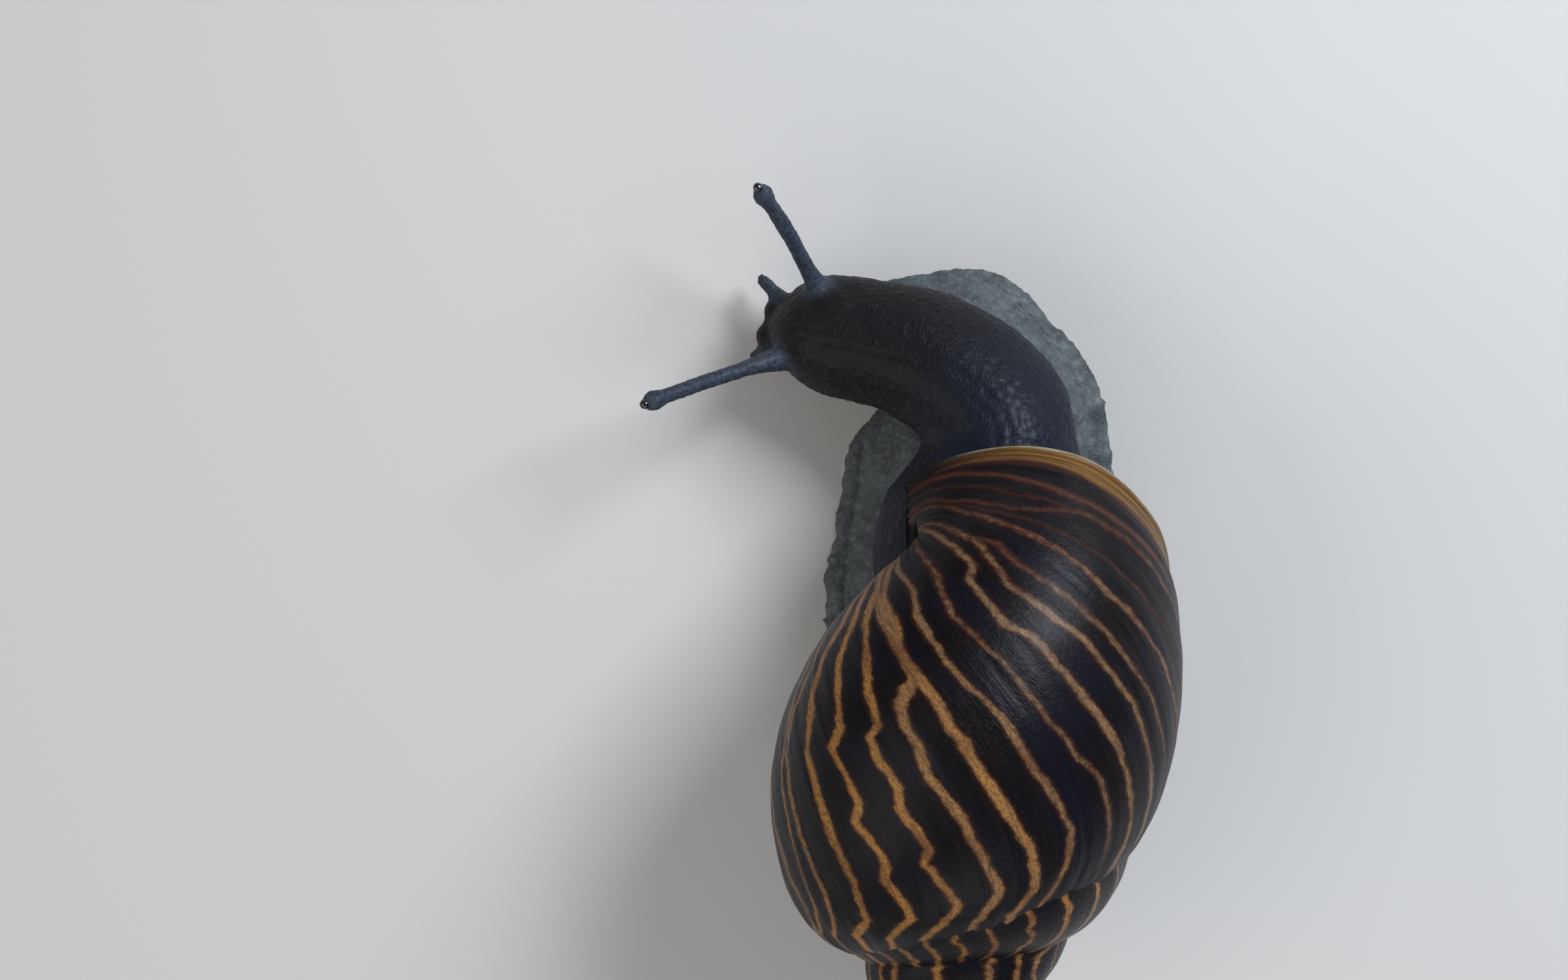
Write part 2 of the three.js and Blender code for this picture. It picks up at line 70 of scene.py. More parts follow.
# ---------------------------------------------------------------- numbers and noise
def eased(share: Array) -> Array:
    """A share from 0 to 1 with soft ends."""
    return share * share * (3 - 2 * share)


def smoothstep(value: Array, low: float, high: float) -> Array:
    """How far value has come from low to high, 0 to 1, with soft ends."""
    return eased(np.clip((np.asarray(value, float) - low) / (high - low), 0, 1))


def circle(count: int) -> Array:
    """Evenly spaced angles round a circle."""
    return np.linspace(0, TAU, count, endpoint=False)


def unit(vectors: Array) -> Array:
    """The vectors at a length of 1."""
    return vectors / np.maximum(np.linalg.norm(vectors, axis=-1, keepdims=True), TINY)


def lengths_along(points: Array) -> Array:
    """Length from the first of a row of points to each of them."""
    return np.concatenate([[0], np.cumsum(np.linalg.norm(np.diff(points, axis=0), axis=1))])


def hill(value: Array, middle: float, width: float) -> Array:
    """1 where the value is the middle one, and soon 0 beyond the width."""
    return np.exp(-((value - middle) / width) ** 2)


def crossed(rows: Array, columns: Array) -> list[Array]:
    """Every pair of a row's and a column's value, as two grids."""
    return np.meshgrid(rows, columns, indexing="ij")


def tint(red: int, green: int, blue: int) -> Colour:
    """A linear colour from the 0 to 255 numbers of a paint chart."""
    parts = (value / 255 for value in (red, green, blue))
    return tuple(v / 12.92 if v < 0.04045 else ((v + 0.055) / 1.055) ** 2.4 for v in parts)


def ripple(place: Array, period: float, seed: int) -> Array:
    """Smooth seeded noise along one length.

    Args:
        place: where the noise is wanted.
        period: length over which it changes.
        seed: which of the noises it is.

    Returns:
        Values between -1 and 1, one for each place.
    """
    knots = np.random.default_rng(seed).uniform(-1, 1, KNOTS)
    at = np.asarray(place, float) / period + 511.3
    low = np.floor(at).astype(int)
    share = eased(at - low)
    return knots[low % KNOTS] * (1 - share) + knots[(low + 1) % KNOTS] * share


def cloud(place: Array, seed: int) -> Array:
    """Smooth seeded noise in space, one unit from lump to lump.

    Args:
        place: points, one in each row.
        seed: which of the noises it is.

    Returns:
        Values between -1 and 1, one for each point.
    """
    knots = np.random.default_rng(seed).uniform(-1, 1, SPOTS)
    low = np.floor(place).astype(np.int64)
    share = eased(place - low)
    total = np.zeros(len(place))
    for corner in np.ndindex(2, 2, 2):
        code = ((low + np.array(corner)) @ SPREAD) % SPOTS
        weight = np.prod(np.where(np.array(corner) == 1, share, 1 - share), axis=1)
        total += weight * knots[code]
    return total


def grooves(place: Array, seed: int, width: float) -> Array:
    """Space split into cells round seeded points, one cell to a unit, with grooves between them.

    Args:
        place: points, one in each row.
        seed: which of the patterns it is.
        width: how far a groove reaches into its cells.

    Returns:
        How high each point stands, from 0 in a groove to 1 on a cell.
    """
    spots = np.random.default_rng(seed).random((SPOTS, 4))[:, :3]
    base = np.floor(place).astype(np.int64)
    first = np.full(len(place), np.inf)
    second = first.copy()
    for offset in np.ndindex(3, 3, 3):
        cell = base + np.array(offset) - 1
        gap = np.linalg.norm(cell + spots[(cell @ SPREAD) % SPOTS] - place, axis=1)
        second = np.minimum(second, np.maximum(first, gap))
        first = np.minimum(first, gap)
    return smoothstep(second - first, 0.02, width)


def through(knots: Array, at: Array) -> Array:
    """A smooth curve through rows of numbers.

    Args:
        knots: the rows, in order.
        at: places along them, counted in rows.

    Returns:
        One row for each place.
    """
    low = np.clip(np.floor(at).astype(int), 0, len(knots) - 2)
    w = (at - low)[:, None]
    a, b, c, d = (knots[np.clip(low + step, 0, len(knots) - 1)] for step in (-1, 0, 1, 2))
    return 0.5 * (2 * b + (c - a) * w + (2 * a - 5 * b + 4 * c - d) * w**2 + (3 * b - a - 3 * c + d) * w**3)


# ---------------------------------------------------------------- meshes
def new_mesh(name: str, points: Array, faces: list) -> bpy.types.Object:
    """An object in the scene from points in millimetres and faces."""
    mesh = bpy.data.meshes.new(name)
    mesh.from_pydata((points * MM).tolist(), [], faces)
    mesh.update()
    made = bpy.data.objects.new(name, mesh)
    bpy.context.scene.collection.objects.link(made)
    return made


def tube(rings: Array) -> tuple[Array, list[tuple[int, ...]]]:
    """A closed tube through rings.

    Args:
        rings: the points, by ring and place.

    Returns:
        The points and then the middles of the two ends, and the quads between the rings and then the
        triangles of the ends.
    """
    rows, columns = rings.shape[:2]
    points = np.vstack([rings.reshape(-1, 3), rings[0].mean(0), rings[-1].mean(0)])
    i, j = crossed(np.arange(rows - 1), np.arange(columns))
    k = (j + 1) % columns
    quads = np.stack([i * columns + j, i * columns + k, (i + 1) * columns + k, (i + 1) * columns + j], -1)
    faces = [tuple(quad) for quad in quads.reshape(-1, 4).tolist()]
    first, top = rows * columns, (rows - 1) * columns
    for a in range(columns):
        b = (a + 1) % columns
        faces += [(first, b, a), (first + 1, top + a, top + b)]
    return points, faces


def ball_angles(rings: int, sides: int, gap: float) -> tuple[Array, Array]:
    """Angles from a ball's pole in a column, that far from both poles, and angles about it in a row."""
    return np.linspace(gap, math.pi - gap, rings)[:, None], circle(sides)[None]


def ball(angle: Array, about: Array, radius: Array | float = 1.0) -> Array:
    """Rings of a ball at these angles from its pole and about it."""
    side = radius * np.sin(angle)
    return np.stack([side * np.cos(about), side * np.sin(about), radius * np.cos(angle) + 0 * about], -1)


@contextmanager
def opened(piece: bpy.types.Object) -> Iterator[bmesh.types.BMesh]:
    """The piece's mesh, opened for editing and put back afterwards."""
    work = bmesh.new()
    work.from_mesh(piece.data)
    yield work
    work.to_mesh(piece.data)
    work.free()


def turn_out(piece: bpy.types.Object) -> None:
    """Makes every face of a closed mesh point outwards."""
    with opened(piece) as work:
        bmesh.ops.recalc_face_normals(work, faces=work.faces)


def closed_mesh(name: str, *tubes: Array) -> bpy.types.Object:
    """An object made of closed tubes, each given by its rings."""
    points, faces, count = [], [], 0
    for tube_points, tube_faces in map(tube, tubes):
        points.append(tube_points)
        faces += [tuple(index + count for index in face) for face in tube_faces]
        count += len(tube_points)
    made = new_mesh(name, np.vstack(points), faces)
    turn_out(made)
    return made


def give(piece: bpy.types.Object, attributes: Attributes) -> None:
    """Stores one number for each point of the piece under each name."""
    for name, values in attributes.items():
        layer = piece.data.attributes.new(name, "FLOAT", "POINT")
        layer.data.foreach_set("value", np.ascontiguousarray(values, np.float32))


def read(items: bpy.types.bpy_prop_collection, name: str, width: int, kind: type) -> Array:
    """One row of numbers for each item of a mesh."""
    flat = np.empty(len(items) * width, kind)
    items.foreach_get(name, flat)
    return flat.reshape(-1, width)


def points_of(piece: bpy.types.Object) -> Array:
    """The piece's points in millimetres."""
    return read(piece.data.vertices, "co", 3, np.float32).astype(float) / MM


def normals_of(piece: bpy.types.Object) -> Array:
    """The piece's point normals."""
    return read(piece.data.vertex_normals, "vector", 3, np.float32).astype(float)


def move_points(piece: bpy.types.Object, points: Array) -> None:
    """Puts the piece's points at places in millimetres."""
    piece.data.vertices.foreach_set("co", np.ascontiguousarray(points * MM, np.float32).ravel())
    piece.data.update()


def edges_of(piece: bpy.types.Object) -> Array:
    """The piece's edges as pairs of point numbers."""
    return read(piece.data.edges, "vertices", 2, np.int32)


def from_neighbours(values: Array, edges: Array) -> Array:
    """The sum of the neighbours' values for each point."""
    one, two = edges.T
    count = len(values)
    return np.bincount(one, values[two], count) + np.bincount(two, values[one], count)


def relax(points: Array, edges: Array, rounds: int, strength: float = 0.5) -> Array:
    """Smooths points towards their neighbours without shrinking the shape.

    Args:
        points: the points.
        edges: pairs of neighbours.
        rounds: how often.
        strength: how far a point goes towards the middle of its neighbours.

    Returns:
        The smoothed points.
    """
    degree = np.maximum(from_neighbours(np.ones(len(points)), edges), 1)
    for turn in range(2 * rounds):
        middle = np.stack([from_neighbours(points[:, axis], edges) / degree for axis in range(3)], -1)
        step = strength if turn % 2 == 0 else -1.04 * strength
        points = points + step * (middle - points)
    return points


def spread(values: Array, edges: Array, rounds: int) -> Array:
    """Softens one number per point over its neighbours."""
    degree = from_neighbours(np.ones(len(values)), edges) + 1
    for _ in range(rounds):
        values = (values + from_neighbours(values, edges)) / degree
    return values


def finished(piece: bpy.types.Object, material: bpy.types.Material, sharp: float = 60) -> bpy.types.Object:
    """Gives a piece its material and smooth shading, with edges sharper than that many degrees kept."""
    piece.data.materials.clear()
    piece.data.materials.append(material)
    piece.data.shade_smooth()
    piece.data.set_sharp_from_angle(angle=math.radians(sharp))
    return piece


def remeshed(piece: bpy.types.Object, voxel: float, cutter: bpy.types.Object | None = None) -> None:
    """Makes one closed skin of a piece whose parts run into each other.

    Args:
        piece: the piece.
        voxel: size of the new faces, in millimetres.
        cutter: what is cut away from it.
    """
    def add_remesh() -> None:
        """Adds the modifier."""
        modifier = piece.modifiers.new("one_skin", "REMESH")
        modifier.mode = "VOXEL"
        modifier.voxel_size = voxel * MM
        modifier.adaptivity = 0.0

    add_remesh()
    if cutter is not None:
        cut = piece.modifiers.new("cut", "BOOLEAN")
        cut.operation = "DIFFERENCE"
        cut.solver = "MANIFOLD"
        cut.object = cutter
        add_remesh()
    bpy.context.view_layer.update()
    settled = piece.evaluated_get(bpy.context.evaluated_depsgraph_get())
    mesh = bpy.data.meshes.new_from_object(settled)
    piece.modifiers.clear()
    old = piece.data
    piece.data = mesh
    mesh.name = piece.name
    bpy.data.meshes.remove(old)


def keep_biggest(piece: bpy.types.Object) -> None:
    """Removes every loose bit of a mesh but the biggest."""
    one, two = edges_of(piece).T
    label = np.arange(len(piece.data.vertices))
    while True:
        least = label.copy()
        np.minimum.at(least, one, label[two])
        np.minimum.at(least, two, label[one])
        least = least[least]
        if np.array_equal(least, label):
            break
        label = least
    names, counts = np.unique(label, return_counts=True)
    loose = np.flatnonzero(label != names[np.argmax(counts)])
    if len(loose):
        with opened(piece) as work:
            work.verts.ensure_lookup_table()
            bmesh.ops.delete(work, geom=[work.verts[index] for index in loose], context="VERTS")


# ---------------------------------------------------------------- shader nodes
class Sock:
    """A node's output on which arithmetic can be written."""

    def __init__(self, shader: "Shader", socket: bpy.types.NodeSocket) -> None:
        """Holds one output of a node of the shader."""
        self.shader = shader
        self.socket = socket

    def _with(self, operation: str, *values: object) -> "Sock":
        """The result of a Math node."""
        return self.shader.node("ShaderNodeMath", {"operation": operation}, dict(enumerate(values)))

    def __add__(self, other: object) -> "Sock":
        """Sum."""
        return self._with("ADD", self, other)

    __radd__ = __add__

    def __mul__(self, other: object) -> "Sock":
        """Product."""
        return self._with("MULTIPLY", self, other)

    __rmul__ = __mul__

    def __sub__(self, other: object) -> "Sock":
        """Difference."""
        return self._with("SUBTRACT", self, other)

    def __rsub__(self, other: object) -> "Sock":
        """Difference, the other way round."""
        return self._with("SUBTRACT", other, self)

    def step(self, low: float, high: float) -> "Sock":
        """How far the value has come from low to high, with soft ends."""
        settings = {"interpolation_type": "SMOOTHSTEP"}
        return self.shader.node("ShaderNodeMapRange", settings, {0: self, 1: low, 2: high, 3: 0.0, 4: 1.0})


class Shader:
    """A material that is built from expressions."""

    def __init__(self, name: str) -> None:
        """Starts an empty material."""
        self.material = bpy.data.materials.new(name)
        self.material.use_nodes = True
        self.tree = self.material.node_tree
        self.tree.nodes.clear()

    def node(self, kind: str, settings: dict, values: dict, out: object = 0) -> Sock:
        """Adds a node.

        Args:
            kind: the node's type.
            settings: what is set on the node itself, before its sockets.
            values: numbers, colours or links of its inputs, by number or name.
            out: number or name of the output that is wanted.

        Returns:
            That output.
        """
        made = self.tree.nodes.new(kind)
        for name, value in settings.items():
            setattr(made, name, value)
        for name, value in values.items():
            if isinstance(value, Sock):
                self.tree.links.new(value.socket, made.inputs[name])
            elif isinstance(value, tuple) and len(made.inputs[name].default_value) == 4:
                made.inputs[name].default_value = (*value, 1.0)
            else:
                made.inputs[name].default_value = value
        return Sock(self, made.outputs[out])

    def value(self, name: str) -> Sock:
        """The number that the mesh stores under a name."""
        return self.node("ShaderNodeAttribute", {"attribute_name": name}, {}, "Fac")

    def flat(self, x: object, y: object) -> Sock:
        """A place on the shell laid out flat."""
        return self.node("ShaderNodeCombineXYZ", {}, {0: x, 1: y})

    def place(self) -> Sock:
        """The point's place on the model, in metres."""
        return self.node("ShaderNodeTexCoord", {}, {}, "Object")

    def noise(self, place: Sock, scale: float, detail: float = 3.0, rough: float = 0.5) -> Sock:
        """Soft noise, mostly between 0.3 and 0.7."""
        values = {"Vector": place, "Scale": scale, "Detail": detail, "Roughness": rough}
        return self.node("ShaderNodeTexNoise", {}, values)

    def cracks(self, place: Sock, scale: float) -> Sock:
        """Distance to the nearest border between cells."""
        settings = {"feature": "DISTANCE_TO_EDGE"}
        return self.node("ShaderNodeTexVoronoi", settings, {"Vector": place, "Scale": scale}, "Distance")

    def mix(self, share: object, first: object, second: object) -> Sock:
        """As much as share of the second colour over the first."""
        return self.node("ShaderNodeMix", {"data_type": "RGBA"}, {0: share, 6: first, 7: second}, 2)

    def bump(self, height: Sock, depth: float, before: Sock | None = None) -> Sock:
        """A normal with small relief, depth millimetres for a height of 1."""
        values = {"Strength": 1.0, "Distance": depth * MM, "Height": height}
        if before is not None:
            values["Normal"] = before
        return self.node("ShaderNodeBump", {}, values)

    def finish(self, values: dict) -> bpy.types.Material:
        """Closes the material with a Principled shader that has these inputs."""
        shader = self.node("ShaderNodeBsdfPrincipled", {}, values)
        output = self.tree.nodes.new("ShaderNodeOutputMaterial")
        self.tree.links.new(shader.socket, output.inputs["Surface"])
        return self.material


# ---------------------------------------------------------------- finishes
@dataclass(frozen=True)
class ShellSurface:
    """What the striped shell and its lip have in common: the gloss and the young shell's golden border."""

    edge: Colour = tint(158, 150, 132)
    gold_edge: Colour = tint(126, 89, 40)
    olive: Colour = tint(76, 51, 25)
    rust_edge: Colour = tint(58, 25, 15)
    rust_from: tuple[float, float] = (3.8, 5.6)  # millimetres behind the lip where the gold turns to rust
    fades: tuple[float, float] = (5.0, 7.4)  # and where the border ends
    ragged: float = 2.6
    suture_side: tuple[float, float] = (20.0, 44.0)  # millimetres from the suture where it gets strong
    base_side: tuple[float, float] = (69.0, 80.0)  # and where it stops before the base

    def border(self, s: Shader, under: Sock | Colour) -> Sock:
        """A colour with the golden border laid over it."""
        rim, around = s.value("rim"), s.value("around")
        streaks = s.noise(s.flat(rim * 1.3, around * 0.06), 1.0, 4.0, 0.6)
        blot = s.noise(s.flat(rim * 0.5, around * 0.22), 1.0, 3.0, 0.6)
        at = rim + (streaks - 0.5) * self.ragged + (blot - 0.5) * self.ragged
        gold = s.mix(streaks.step(0.34, 0.64), self.gold_edge, self.olive)
        gold = s.mix((0.5 - rim - (blot - 0.5) * 1.5).step(0.0, 0.6) * 0.8, gold, self.edge)
        rust = s.mix(at.step(*self.rust_from), gold, self.rust_edge)
        side = around.step(*self.suture_side) * 0.7 + 0.3
        share = (1 - at.step(*self.fades)) * side * (1 - around.step(*self.base_side))
        return s.mix(share, under, rust)

    @staticmethod
    def dressed(s: Shader, colour: Sock, roughness: Sock, relief: Sock, depth: float) -> bpy.types.Material:
        """Closes the material with the gloss of a shell and relief of that depth in millimetres."""
        return s.finish({
            "Base Color": colour,
            "Roughness": roughness,
            "Specular IOR Level": 0.12,
            "Coat Weight": 0.05,
            "Coat Roughness": 0.3,
            "Normal": s.bump(relief, depth),
        })


@dataclass(frozen=True)
class StripedShell(ShellSurface):
    """The dark, finely ribbed shell with its tawny stripes and random patches of painted blue sheen."""

    black: Colour = tint(9, 7, 9)
    brown: Colour = tint(26, 15, 12)
    # Painted blue sheen of the sky, laid on the dark ground in random patches.
    painted_violet_sheen: Colour = tint(14, 14, 27)
    fringe: Colour = tint(50, 24, 15)
    gold: Colour = tint(170, 118, 60)
    tan: Colour = tint(128, 100, 72)
    rust: Colour = tint(82, 46, 34)
    crumb: Colour = tint(58, 36, 24)
    relief: float = 0.11

    def make(self) -> bpy.types.Material:
        """Builds the material."""
        s = Shader("striped_shell")
        along = s.value("along")
        around = s.value("around")
        fine = s.flat(along, around * 0.9)
        streaks = s.noise(s.flat(along * 1.7, around * 0.07), 1.0, 4.0, 0.6)
        wobble = s.noise(fine, 1.1) - 0.5
        fray = s.noise(fine, 4.5, 2.0) - 0.5
        edge = s.value("stripe") + wobble * 0.6 + fray * 0.5
        mask = edge.step(-0.3, 0.34) * s.value("strength")
        halo = edge.step(-0.8, 0.0) * s.value("strength")
        sheen_patches = s.noise(s.flat(along * 0.11, around * 0.10), 1.0, 2.0)
        ground = s.mix(streaks.step(0.42, 0.74), self.black, self.brown)
        # Large random patches of painted violet sheen stand in for the sky's blue reflection on the dark
        # ground.
        ground = s.mix(sheen_patches.step(0.38, 0.66) * 0.75, ground, self.painted_violet_sheen)
        ground = s.mix(halo * (0.25 + streaks * 0.9), ground, self.fringe)
        warmth = s.value("gold") + wobble * 0.7 - around.step(36.0, 60.0) * 0.2
        pale = s.mix(warmth.step(0.42, 1.0), self.tan, self.gold)
        pale = s.mix((0.3 - warmth).step(-0.1, 0.25), pale, self.rust)
        grains = s.noise(s.flat(along * 1.9, around * 1.2), 1.7, 3.0, 0.7)
        pale = s.mix(grains.step(0.42, 0.66) * 0.62, pale, self.crumb)
        pale = s.mix(streaks.step(0.46, 0.72) * 0.5, pale, self.crumb)
        worn = s.noise(s.flat(along * 0.3, around * 0.13), 1.0, 2.0)
        pale = s.mix(worn.step(0.48, 0.68) * 0.5, pale, self.rust)
        colour = self.border(s, s.mix(mask, ground, pale))
        ribs = s.noise(s.flat(along * 3.4, around * 0.16), 1.0, 3.0, 0.6)
        beads = s.noise(s.flat(along * 2.3, around * 1.7), 1.0, 2.0)
        roughness = 0.27 + beads * 0.2 - mask * 0.04
        return self.dressed(s, colour, roughness, ribs * 0.9 + beads * 0.75, self.relief)


@dataclass(frozen=True)
class ShellLip(ShellSurface):
    """The young edge of the shell and the pale enamel inside its mouth, which darkens to painted shade
    towards the base.
    """

    under: Colour = tint(20, 13, 12)
    enamel: Colour = tint(128, 130, 140)
    relief: float = 0.07

    def make(self) -> bpy.types.Material:
        """Builds the material."""
        s = Shader("shell_lip")
        around = s.value("around")
        # Towards the base of the mouth the enamel gives way to the dark shell colour: painted shade inside
        # the mouth.
        shown = s.value("inside") * (1 - around.step(56.0, 70.0) * 0.95)
        colour = s.mix(shown, self.border(s, self.under), self.enamel)
        ribs = s.noise(s.flat(s.value("rim") * 4.2, around * 0.14), 1.0, 3.0, 0.6)
        return self.dressed(s, colour, 0.32 + ribs * 0.2, ribs, self.relief)


@dataclass(frozen=True)
class ShellTip:
    """The worn, horn-coloured first whorls."""

    horn: Colour = tint(120, 88, 62)
    worn: Colour = tint(168, 140, 110)
    dark: Colour = tint(58, 36, 26)
    blotch_scale: float = 420.0
    flame_scale: float = 1150.0
    relief: float = 0.06

    def make(self) -> bpy.types.Material:
        """Builds the material."""
        s = Shader("shell_tip")
        place = s.place()
        blotch = s.noise(place, self.blotch_scale)
        flames = s.noise(place, self.flame_scale, 3.0, 0.6)
        colour = s.mix(blotch.step(0.4, 0.62), self.horn, self.worn)
        colour = s.mix(flames.step(0.52, 0.62) * 0.75, colour, self.dark)
        return s.finish({
            "Base Color": colour,
            "Roughness": 0.42 + blotch * 0.2,
            "Coat Weight": 0.1,
            "Coat Roughness": 0.35,
            "Normal": s.bump(flames + blotch * 0.5, self.relief),
        })


@dataclass(frozen=True)
class WetSkin:
    """Dark, damp skin with a net of grooves, greyer and mottled on the foot, with painted blue sky sheen on
    the neck near the lip.
    """

    black: Colour = tint(8, 9, 13)
    brown: Colour = tint(18, 15, 15)
    # Painted reflection of the blue sky on the neck near the lip.
    navy_sky_sheen: Colour = tint(11, 19, 37)
    sheen: Colour = tint(32, 31, 36)
    slate: Colour = tint(58, 66, 80)
    foot: Colour = tint(92, 98, 101)
    pale: Colour = tint(124, 130, 131)
    dim: Colour = tint(66, 71, 75)
    mantle: Colour = tint(116, 108, 92)
    mottle_scale: float = 260.0
    speck_scale: float = 1500.0
    grain_scale: float = 1650.0
    grain_relief: float = 0.05
    wrinkle_scale: float = 900.0
    wrinkle_relief: float = 0.12

    def make(self) -> bpy.types.Material:
        """Builds the material."""
        s = Shader("wet_skin")
        place = s.place()
        wart = s.value("wart")
        mottle = s.noise(place, self.mottle_scale, 4.0, 0.6)
        speck = s.noise(place, self.speck_scale, 3.0, 0.6)
        neck = s.mix(s.value("front") + (mottle - 0.5) * 0.8, self.black, self.brown)
        # Painted blue sky sheen, laid on the neck where it nears the shell's lip.
        neck = s.mix(s.value("near_lip") + (mottle - 0.5) * 0.5, neck, self.navy_sky_sheen)
        neck = s.mix(wart * speck.step(0.45, 0.75) * 0.5, neck, self.sheen)
        foot = s.mix(mottle.step(0.34, 0.6), self.dim, self.foot)
        foot = s.mix(wart * speck.step(0.34, 0.7) * 0.4, foot, self.pale)
        foot = s.mix((1 - wart) * 0.3, foot, self.dim)
        colour = s.mix(s.value("foot"), neck, foot)
        slate = s.mix(speck.step(0.35, 0.7) * 0.6, self.slate, self.black)
        colour = s.mix(s.value("tentacle"), colour, slate)
        colour = s.mix(s.value("mantle"), colour, s.mix(mottle.step(0.4, 0.7), self.mantle, self.dim))
        grain = s.cracks(place, self.grain_scale).step(0.0, 0.32) + speck * 0.5
        wrinkle = s.noise(place, self.wrinkle_scale, 4.0, 0.6)
        normal = s.bump(grain, self.grain_relief, s.bump(wrinkle, self.wrinkle_relief))
        return s.finish({
            "Base Color": colour,
            "Roughness": 0.44 + mottle * 0.2 + (1 - wart) * 0.12,
            "Specular IOR Level": 0.24,
            "Coat Weight": 0.03 + mottle * 0.08,
            "Coat Roughness": 0.25,
            "Normal": normal,
        })


@dataclass(frozen=True)
class EyeGloss:
    """The black bead of an eye under its clear skin."""

    pupil: Colour = tint(7, 6, 8)
    ring: Colour = tint(46, 40, 44)
    fleck_scale: float = 4200.0

    def make(self) -> bpy.types.Material:
        """Builds the material."""
        s = Shader("eye_gloss")
        flecks = s.noise(s.place(), self.fleck_scale, 2.0)
        ring = s.value("ring") * flecks.step(0.3, 0.7)
        return s.finish({
            "Base Color": s.mix(ring, self.pupil, self.ring),
            "Roughness": 0.1 + ring * 0.3,
            "Coat Weight": 0.8,
            "Coat Roughness": 0.05,
        })


@dataclass(frozen=True)
class StudioFloor:
    """The plain pale floor."""

    pale: Colour = tint(208, 206, 203)

    def make(self) -> bpy.types.Material:
        """Builds the material."""
        return Shader("studio_floor").finish({
            "Base Color": self.pale,
            "Roughness": 0.75,
            "Specular IOR Level": 0.2,
        })


# ---------------------------------------------------------------- shell
@dataclass(frozen=True)
class Spiral:
    """The shell's spiral and its seat on the body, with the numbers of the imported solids."""

    growth: float = 1.742
    oval_wide: float = 20.8
    oval_tall: float = 28.8
    oval_from_axis: float = 11.7
    oval_below_pole: float = 77.5
    oval_lean: float = 0.241
    oval_egg: float = -0.093
    lip_sweep: float = 0.326
    lip_slant: float = 0.597
    spire_widen: float = 0.434
    spire_drop: float = 13.0
    spire_from: float = 0.44
    spire_ease: float = 0.9
    spire_lean: float = 0.5
    lean_from: float = 0.8
    lean_ease: float = 1.0
    axis_radius: float = 0.45
    columella: float = 3.2
    wall: float = 1.2
    mouth_depth: float = 0.36
    lip_band: float = 0.075
    curl: tuple[float, float, float] = (-5.4, 0.2, 3.5)
    curl_round: float = 2.4
    curl_round_ease: float = 1.05
    curl_round_end: float = 5.05
    curl_growth: float = 2.0
    curl_growth_end: float = 0.5
    thinnest: float = 0.02
    seat: tuple[float, float, float] = (0.6, -83.4, 32.7)
    heading: float = 1.51
    pitch: float = 87.06
    roll: float = 3.8

    def size(self, t: Array) -> Array:
        """Size of the whorl at growth angle t beside that at the lip."""
        return self.growth ** (t / TAU)

    def length(self, t: Array) -> Array:
        """Length along the whorl from the pole of the spiral to growth angle t."""
        return (self.oval_from_axis + self.oval_wide) * TAU / math.log(self.growth) * self.size(t)

    def at(self, t: Array, phi: Array, grow: Array | float = 0.0, least: float | None = None) -> Array:
        """Points of the shell's surface in the row frame.

        Args:
            t: growth angle, 0 at the lip and negative before it.
            phi: place round the mouth oval, 0 at the suture and half a turn at the base.
            grow: how far outside the surface the point lies.
            least: least distance from the axis at the lip.

        Returns:
            An array of the arguments' shape with three coordinates for each point.
        """
        least = self.axis_radius if least is None else least
        size = self.size(t)
        wide = self.oval_wide + grow / size
        tall = self.oval_tall + grow / size
        across = wide * np.sin(phi) * (1 + self.oval_egg * np.cos(phi))
        along = tall * np.cos(phi)
        lean = self.oval_lean - self.spire_lean * self._come(t, self.lean_from, self.lean_ease)
        radius = self.oval_from_axis + np.cos(lean) * across + np.sin(lean) * along
        height = -self.oval_below_pole - np.sin(lean) * across + np.cos(lean) * along
        turn = -(t + self.lip_sweep * np.sin(phi) + self.lip_slant * np.cos(phi))
        spire = self._come(t, self.spire_from, self.spire_ease)
        nearest = np.maximum(least - np.maximum(0, grow) / size, self.thinnest)
        r = size * (1 + self.spire_widen * spire) * np.maximum(radius, nearest)
        own = np.stack([r * np.cos(turn), r * np.sin(turn), size * height - self.spire_drop * spire], -1)
        return self.seated(own + self._curled(t, phi)[..., None] * np.array(self.curl))

    def _curled(self, t: Array, phi: Array) -> Array:
        """How much the base of the mouth curls round the axis, 0 to 1."""
        place = np.mod(phi, TAU)
        begins = smoothstep(place, self.curl_round, self.curl_round + self.curl_round_ease)
        ends = smoothstep(place, self.curl_round_end, self.curl_round_end + self.curl_round_ease)
        return begins * (1 - ends) * smoothstep(t, -self.curl_growth, -self.curl_growth_end)

    def seated(self, own: Array) -> Array:
        """Points of the shell's own frame, apex up, in the row frame."""
        spin = Matrix.Identity(3)
        for angle, axis in ((self.heading, "Z"), (self.pitch, "X"), (self.roll, "Z")):
            spin = spin @ Matrix.Rotation(math.radians(angle), 3, axis)
        return own @ np.array(spin).T + np.array(self.seat) + ORIGIN

    @staticmethod
    def _come(t: Array, start: float, ease: float) -> Array:
        """How far something has come in, from 0 at the lip to 1 in the spire."""
        return smoothstep(-np.asarray(t, float) / TAU, start, start + ease)


@dataclass(frozen=True)
class Stripe:
    """One pale stripe: its growth angle at the whorl's middle in degrees, and how it is drawn."""

    place: float
    half: float
    gold: float
    strength: float = 1.0
    jag: float = 0.0
    joins: float = 0.0  # degrees round the mouth oval past which it has run into the next stripe
    course: tuple[tuple[float, float], ...] = ()  # degrees round the oval, and growth angle there


def near_lip(half: float, gold: float, strength: float, *course: tuple[float, float]) -> Stripe:
    """A stripe of the last turn, drawn through the places that it runs through."""
    middle = min(course, key=lambda point: abs(point[0] - 70))
    return Stripe(middle[1], half, gold, strength, course=course)


